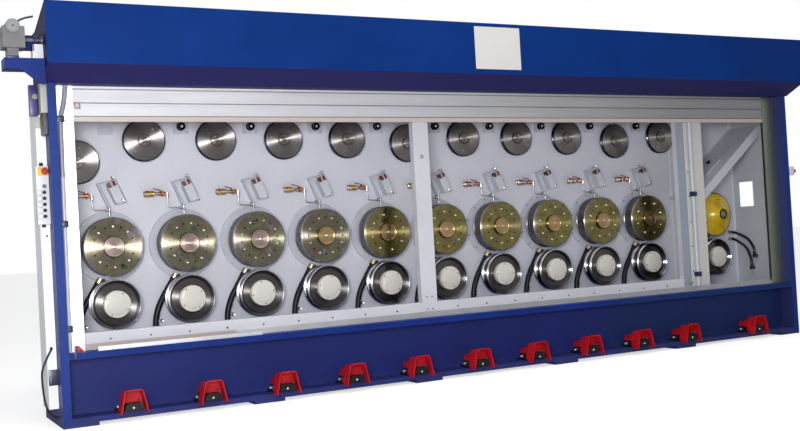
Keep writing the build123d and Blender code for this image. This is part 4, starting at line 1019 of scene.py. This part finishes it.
# Shutter drive: cap of the gear box with its dot, the handle, and the shaft's bearing with pale sides
CAP_Y = DRIVE_Y - 65.0
CAP_X = LEFT_X - 194.0
CAP_Z = 2368.0
SHAFT_Z = 2299.0
Piece().turned(CAP_X, CAP_Z, (
    (0, CAP_Y - 13), (26, CAP_Y - 13), (29, CAP_Y - 15.5), (36, CAP_Y - 15.5),
    (39.6, CAP_Y - 12), (39.6, CAP_Y + 2), (0, CAP_Y + 2),
), 48).make("gear_cap", GEAR_CAP, "grey_paint")
dark = Piece().standing(CAP_X, CAP_Y - 12.0, CAP_Z, ((0, 0), (6, 0), (6, 3), (0, 4)), 20)
handle_y = CAP_Y - 8.0
dark.tube((
    (FIRST_X - 613, handle_y, 2390), (FIRST_X - 576, handle_y, 2412),
    (FIRST_X - 521, handle_y, 2425),
), 6.0)
dark.rod((LEFT_X - 71.0, DRIVE_Y, SHAFT_Z), (LEFT_X - 29.0, DRIVE_Y, SHAFT_Z), 27.5, 28, 4.0)
dark.box(LEFT_X - 82.0, LEFT_X - 74.0, DRIVE_Y - 31.0, DRIVE_Y + 31.0, 2230.0, 2273.0, 2.0)
dark.box(LEFT_X - 226.0, LEFT_X - 162.0, DRIVE_Y - 52.0, DRIVE_Y - 43.0, 2184.0, 2198.0, 2.0)
dark.make("bearing_housing", NAVY, "black_plastic")
face = Piece().box(LEFT_X - 82.5, LEFT_X - 23.0, DRIVE_Y - 30.6, DRIVE_Y - 20.0, 2183.0, 2272.0, 2.0)
face.make("bearing_face", WHITE, "pale_grey_paint")
flank = Piece().box(LEFT_X - 84.0, LEFT_X - 80.0, DRIVE_Y - 29.0, DRIVE_Y + 29.0, 2184.0, 2232.0, 1.0)
flank.make("bearing_block", PINK, "pale_grey_paint")

# Strap and red wedge on the base's lip at the left
left_x = FIRST_X - 342.0
strap = Piece().box(left_x - 16.0, left_x, -407.0, -396.0, 402.0, 486.0, 2.0)
strap.make("lip_strap", NAVY, "blue_paint")
wedge = Piece().prism((
    (left_x, 446), (left_x + 2, 484), (left_x + 12, 484), (left_x + 46, 446),
), -404.0, -380.0, 2.0)
wedge.make("lip_wedge", RED, "red_paint")

# Square plate with a bare label at the left end of the shutter
plate = Piece().box(FIRST_X - 272.0, FIRST_X - 236.0, -321.0, -316.0, 1916.0, 1954.0, 2.0)
plate.make("shutter_plate", GREY, "grey_paint")
label = Piece().box(FIRST_X - 265.0, FIRST_X - 243.0, -324.0, -320.0, 1923.0, 1947.0, 1.5)
label.make("shutter_label", PINK, "cream_paint")

# Foot switches: cable glands at the left and through the guard, pale dots on treadle and gland
PEDAL_SHIFT = -32.0
glands, dots = Piece(), Piece()
for column in columns:
    x = column + PEDAL_SHIFT
    glands.rod((x + 45.0, -436.0, 120.0), (x + 45.0, -393.8, 120.0), 7.0, 16, 2.0)
    glands.rod((x - 62.0, -300.0, 80.0), (x - 40.0, -300.0, 80.0), 11.0, 16, 2.0)
    dots.standing(x - 4.0, -452.5, 84.0, ((0, 0), (7, 0), (6, 1.5), (0, 2)), 16)
    dots.lathe((x - 70.0, -300.0, 80.0), (1, 0, 0), ((0, 0), (7, 0), (7, 10), (0, 10)), 16)
glands.make("pedal_glands", GLAND, "steel")
dots.make("pedal_dots", COVER, "cream_paint")

# Pale floor that glows a little for the camera alone
FLOOR_GLOW = 0.6
data = bpy.data.meshes.new("floor")
mesh = bmesh.new()
bmesh.ops.create_grid(mesh, x_segments=1, y_segments=1, size=60.0)
mesh.to_mesh(data)
mesh.free()
floor = bpy.data.objects.new("floor", data)
bpy.context.scene.collection.objects.link(floor)
shader = Shader("floor_white")
stops = ((0.3, (0.86, 0.86, 0.87, 1)), (0.7, (0.9, 0.9, 0.9, 1)))
shader.colour_from((shader.ramp(shader.noise(0.8), "Fac", stops), "Color"))
shader.set(roughness=0.9, emission_color=(1, 1, 1, 1))
glow = shader.calculate("MULTIPLY", shader.node("ShaderNodeLightPath"), "Is Camera Ray", FLOOR_GLOW)
shader.link(glow, "Value", shader.bsdf, "Emission Strength")
data.materials.append(shader.material)

# World: white where the camera, a reflection or glass looks at it, and dim as a light
WORLD_LIGHT = 0.24
world = bpy.data.worlds.new("studio")
bpy.context.scene.world = world
world.use_nodes = True
tree = world.node_tree
tree.nodes.clear()
mixer = tree.nodes.new("ShaderNodeMixShader")
for socket, colour, strength in ((1, (0.97, 0.98, 1.0, 1), WORLD_LIGHT), (2, (1, 1, 1, 1), 1.0)):
    background = tree.nodes.new("ShaderNodeBackground")
    background.inputs["Color"].default_value = colour
    background.inputs["Strength"].default_value = strength
    tree.links.new(background.outputs[0], mixer.inputs[socket])
rays = tree.nodes.new("ShaderNodeLightPath")
seen = rays.outputs["Is Camera Ray"]
for kind in ("Is Glossy Ray", "Is Transmission Ray"):
    either = tree.nodes.new("ShaderNodeMath")
    either.operation = "MAXIMUM"
    tree.links.new(seen, either.inputs[0])
    tree.links.new(rays.outputs[kind], either.inputs[1])
    seen = either.outputs[0]
tree.links.new(seen, mixer.inputs[0])
output = tree.nodes.new("ShaderNodeOutputWorld")
tree.links.new(mixer.outputs[0], output.inputs["Surface"])


def softbox(name, place, target, width, height, power):
    """Rectangular lamp; places in metres, power in watts."""
    lamp = bpy.data.lights.new(name, "AREA")
    lamp.shape = "RECTANGLE"
    lamp.size = width
    lamp.size_y = height
    lamp.energy = power
    holder = bpy.data.objects.new(name, lamp)
    bpy.context.scene.collection.objects.link(holder)
    holder.location = place
    aim = Vector(target) - Vector(place)
    holder.rotation_euler = aim.to_track_quat("-Z", "Y").to_euler()
    return holder


# Light from beside the camera and from above, and a small lamp that only makes the metal glint
AIM = (-1.0, 0.0, 1.2)
softbox("key", (-4.5, -6.5, 1.6), AIM, 1.6, 1.4, 280.0)
glint = softbox("glint", (-4.3, -7.0, 1.2), AIM, 0.3, 0.3, 700.0)
glint.visible_diffuse = False
softbox("ceiling", (0.0, -2.6, 6.0), (0.0, -0.6, 2.0), 8.0, 2.6, 130.0)

# Camera as recovered from the photograph: focal length in its pixels, place in metres, angles in radians
PHOTO_WIDTH = 800
FOCAL_PIXELS = 1056.499
SENSOR_WIDTH = 36.0
CAMERA_PLACE = (-4.1471, -6.8909, 1.0378)
YAW = 0.49065
TILT = 0.01839
ROLL = -0.05577
data = bpy.data.cameras.new("camera")
data.sensor_fit = "HORIZONTAL"
data.sensor_width = SENSOR_WIDTH
data.lens = FOCAL_PIXELS / PHOTO_WIDTH * SENSOR_WIDTH
camera = bpy.data.objects.new("camera", data)
bpy.context.scene.collection.objects.link(camera)
ahead = Vector((math.sin(YAW) * math.cos(TILT), math.cos(YAW) * math.cos(TILT), math.sin(TILT)))
right = Vector((math.cos(YAW), -math.sin(YAW), 0))
up = right.cross(ahead)
turned_right = right * math.cos(ROLL) + up * math.sin(ROLL)
turned_up = up * math.cos(ROLL) - right * math.sin(ROLL)
axes = Matrix((turned_right, turned_up, -ahead)).transposed().to_4x4()
camera.matrix_world = Matrix.Translation(CAMERA_PLACE) @ axes
bpy.context.scene.camera = camera
bpy.context.scene.view_settings.view_transform = "Standard"
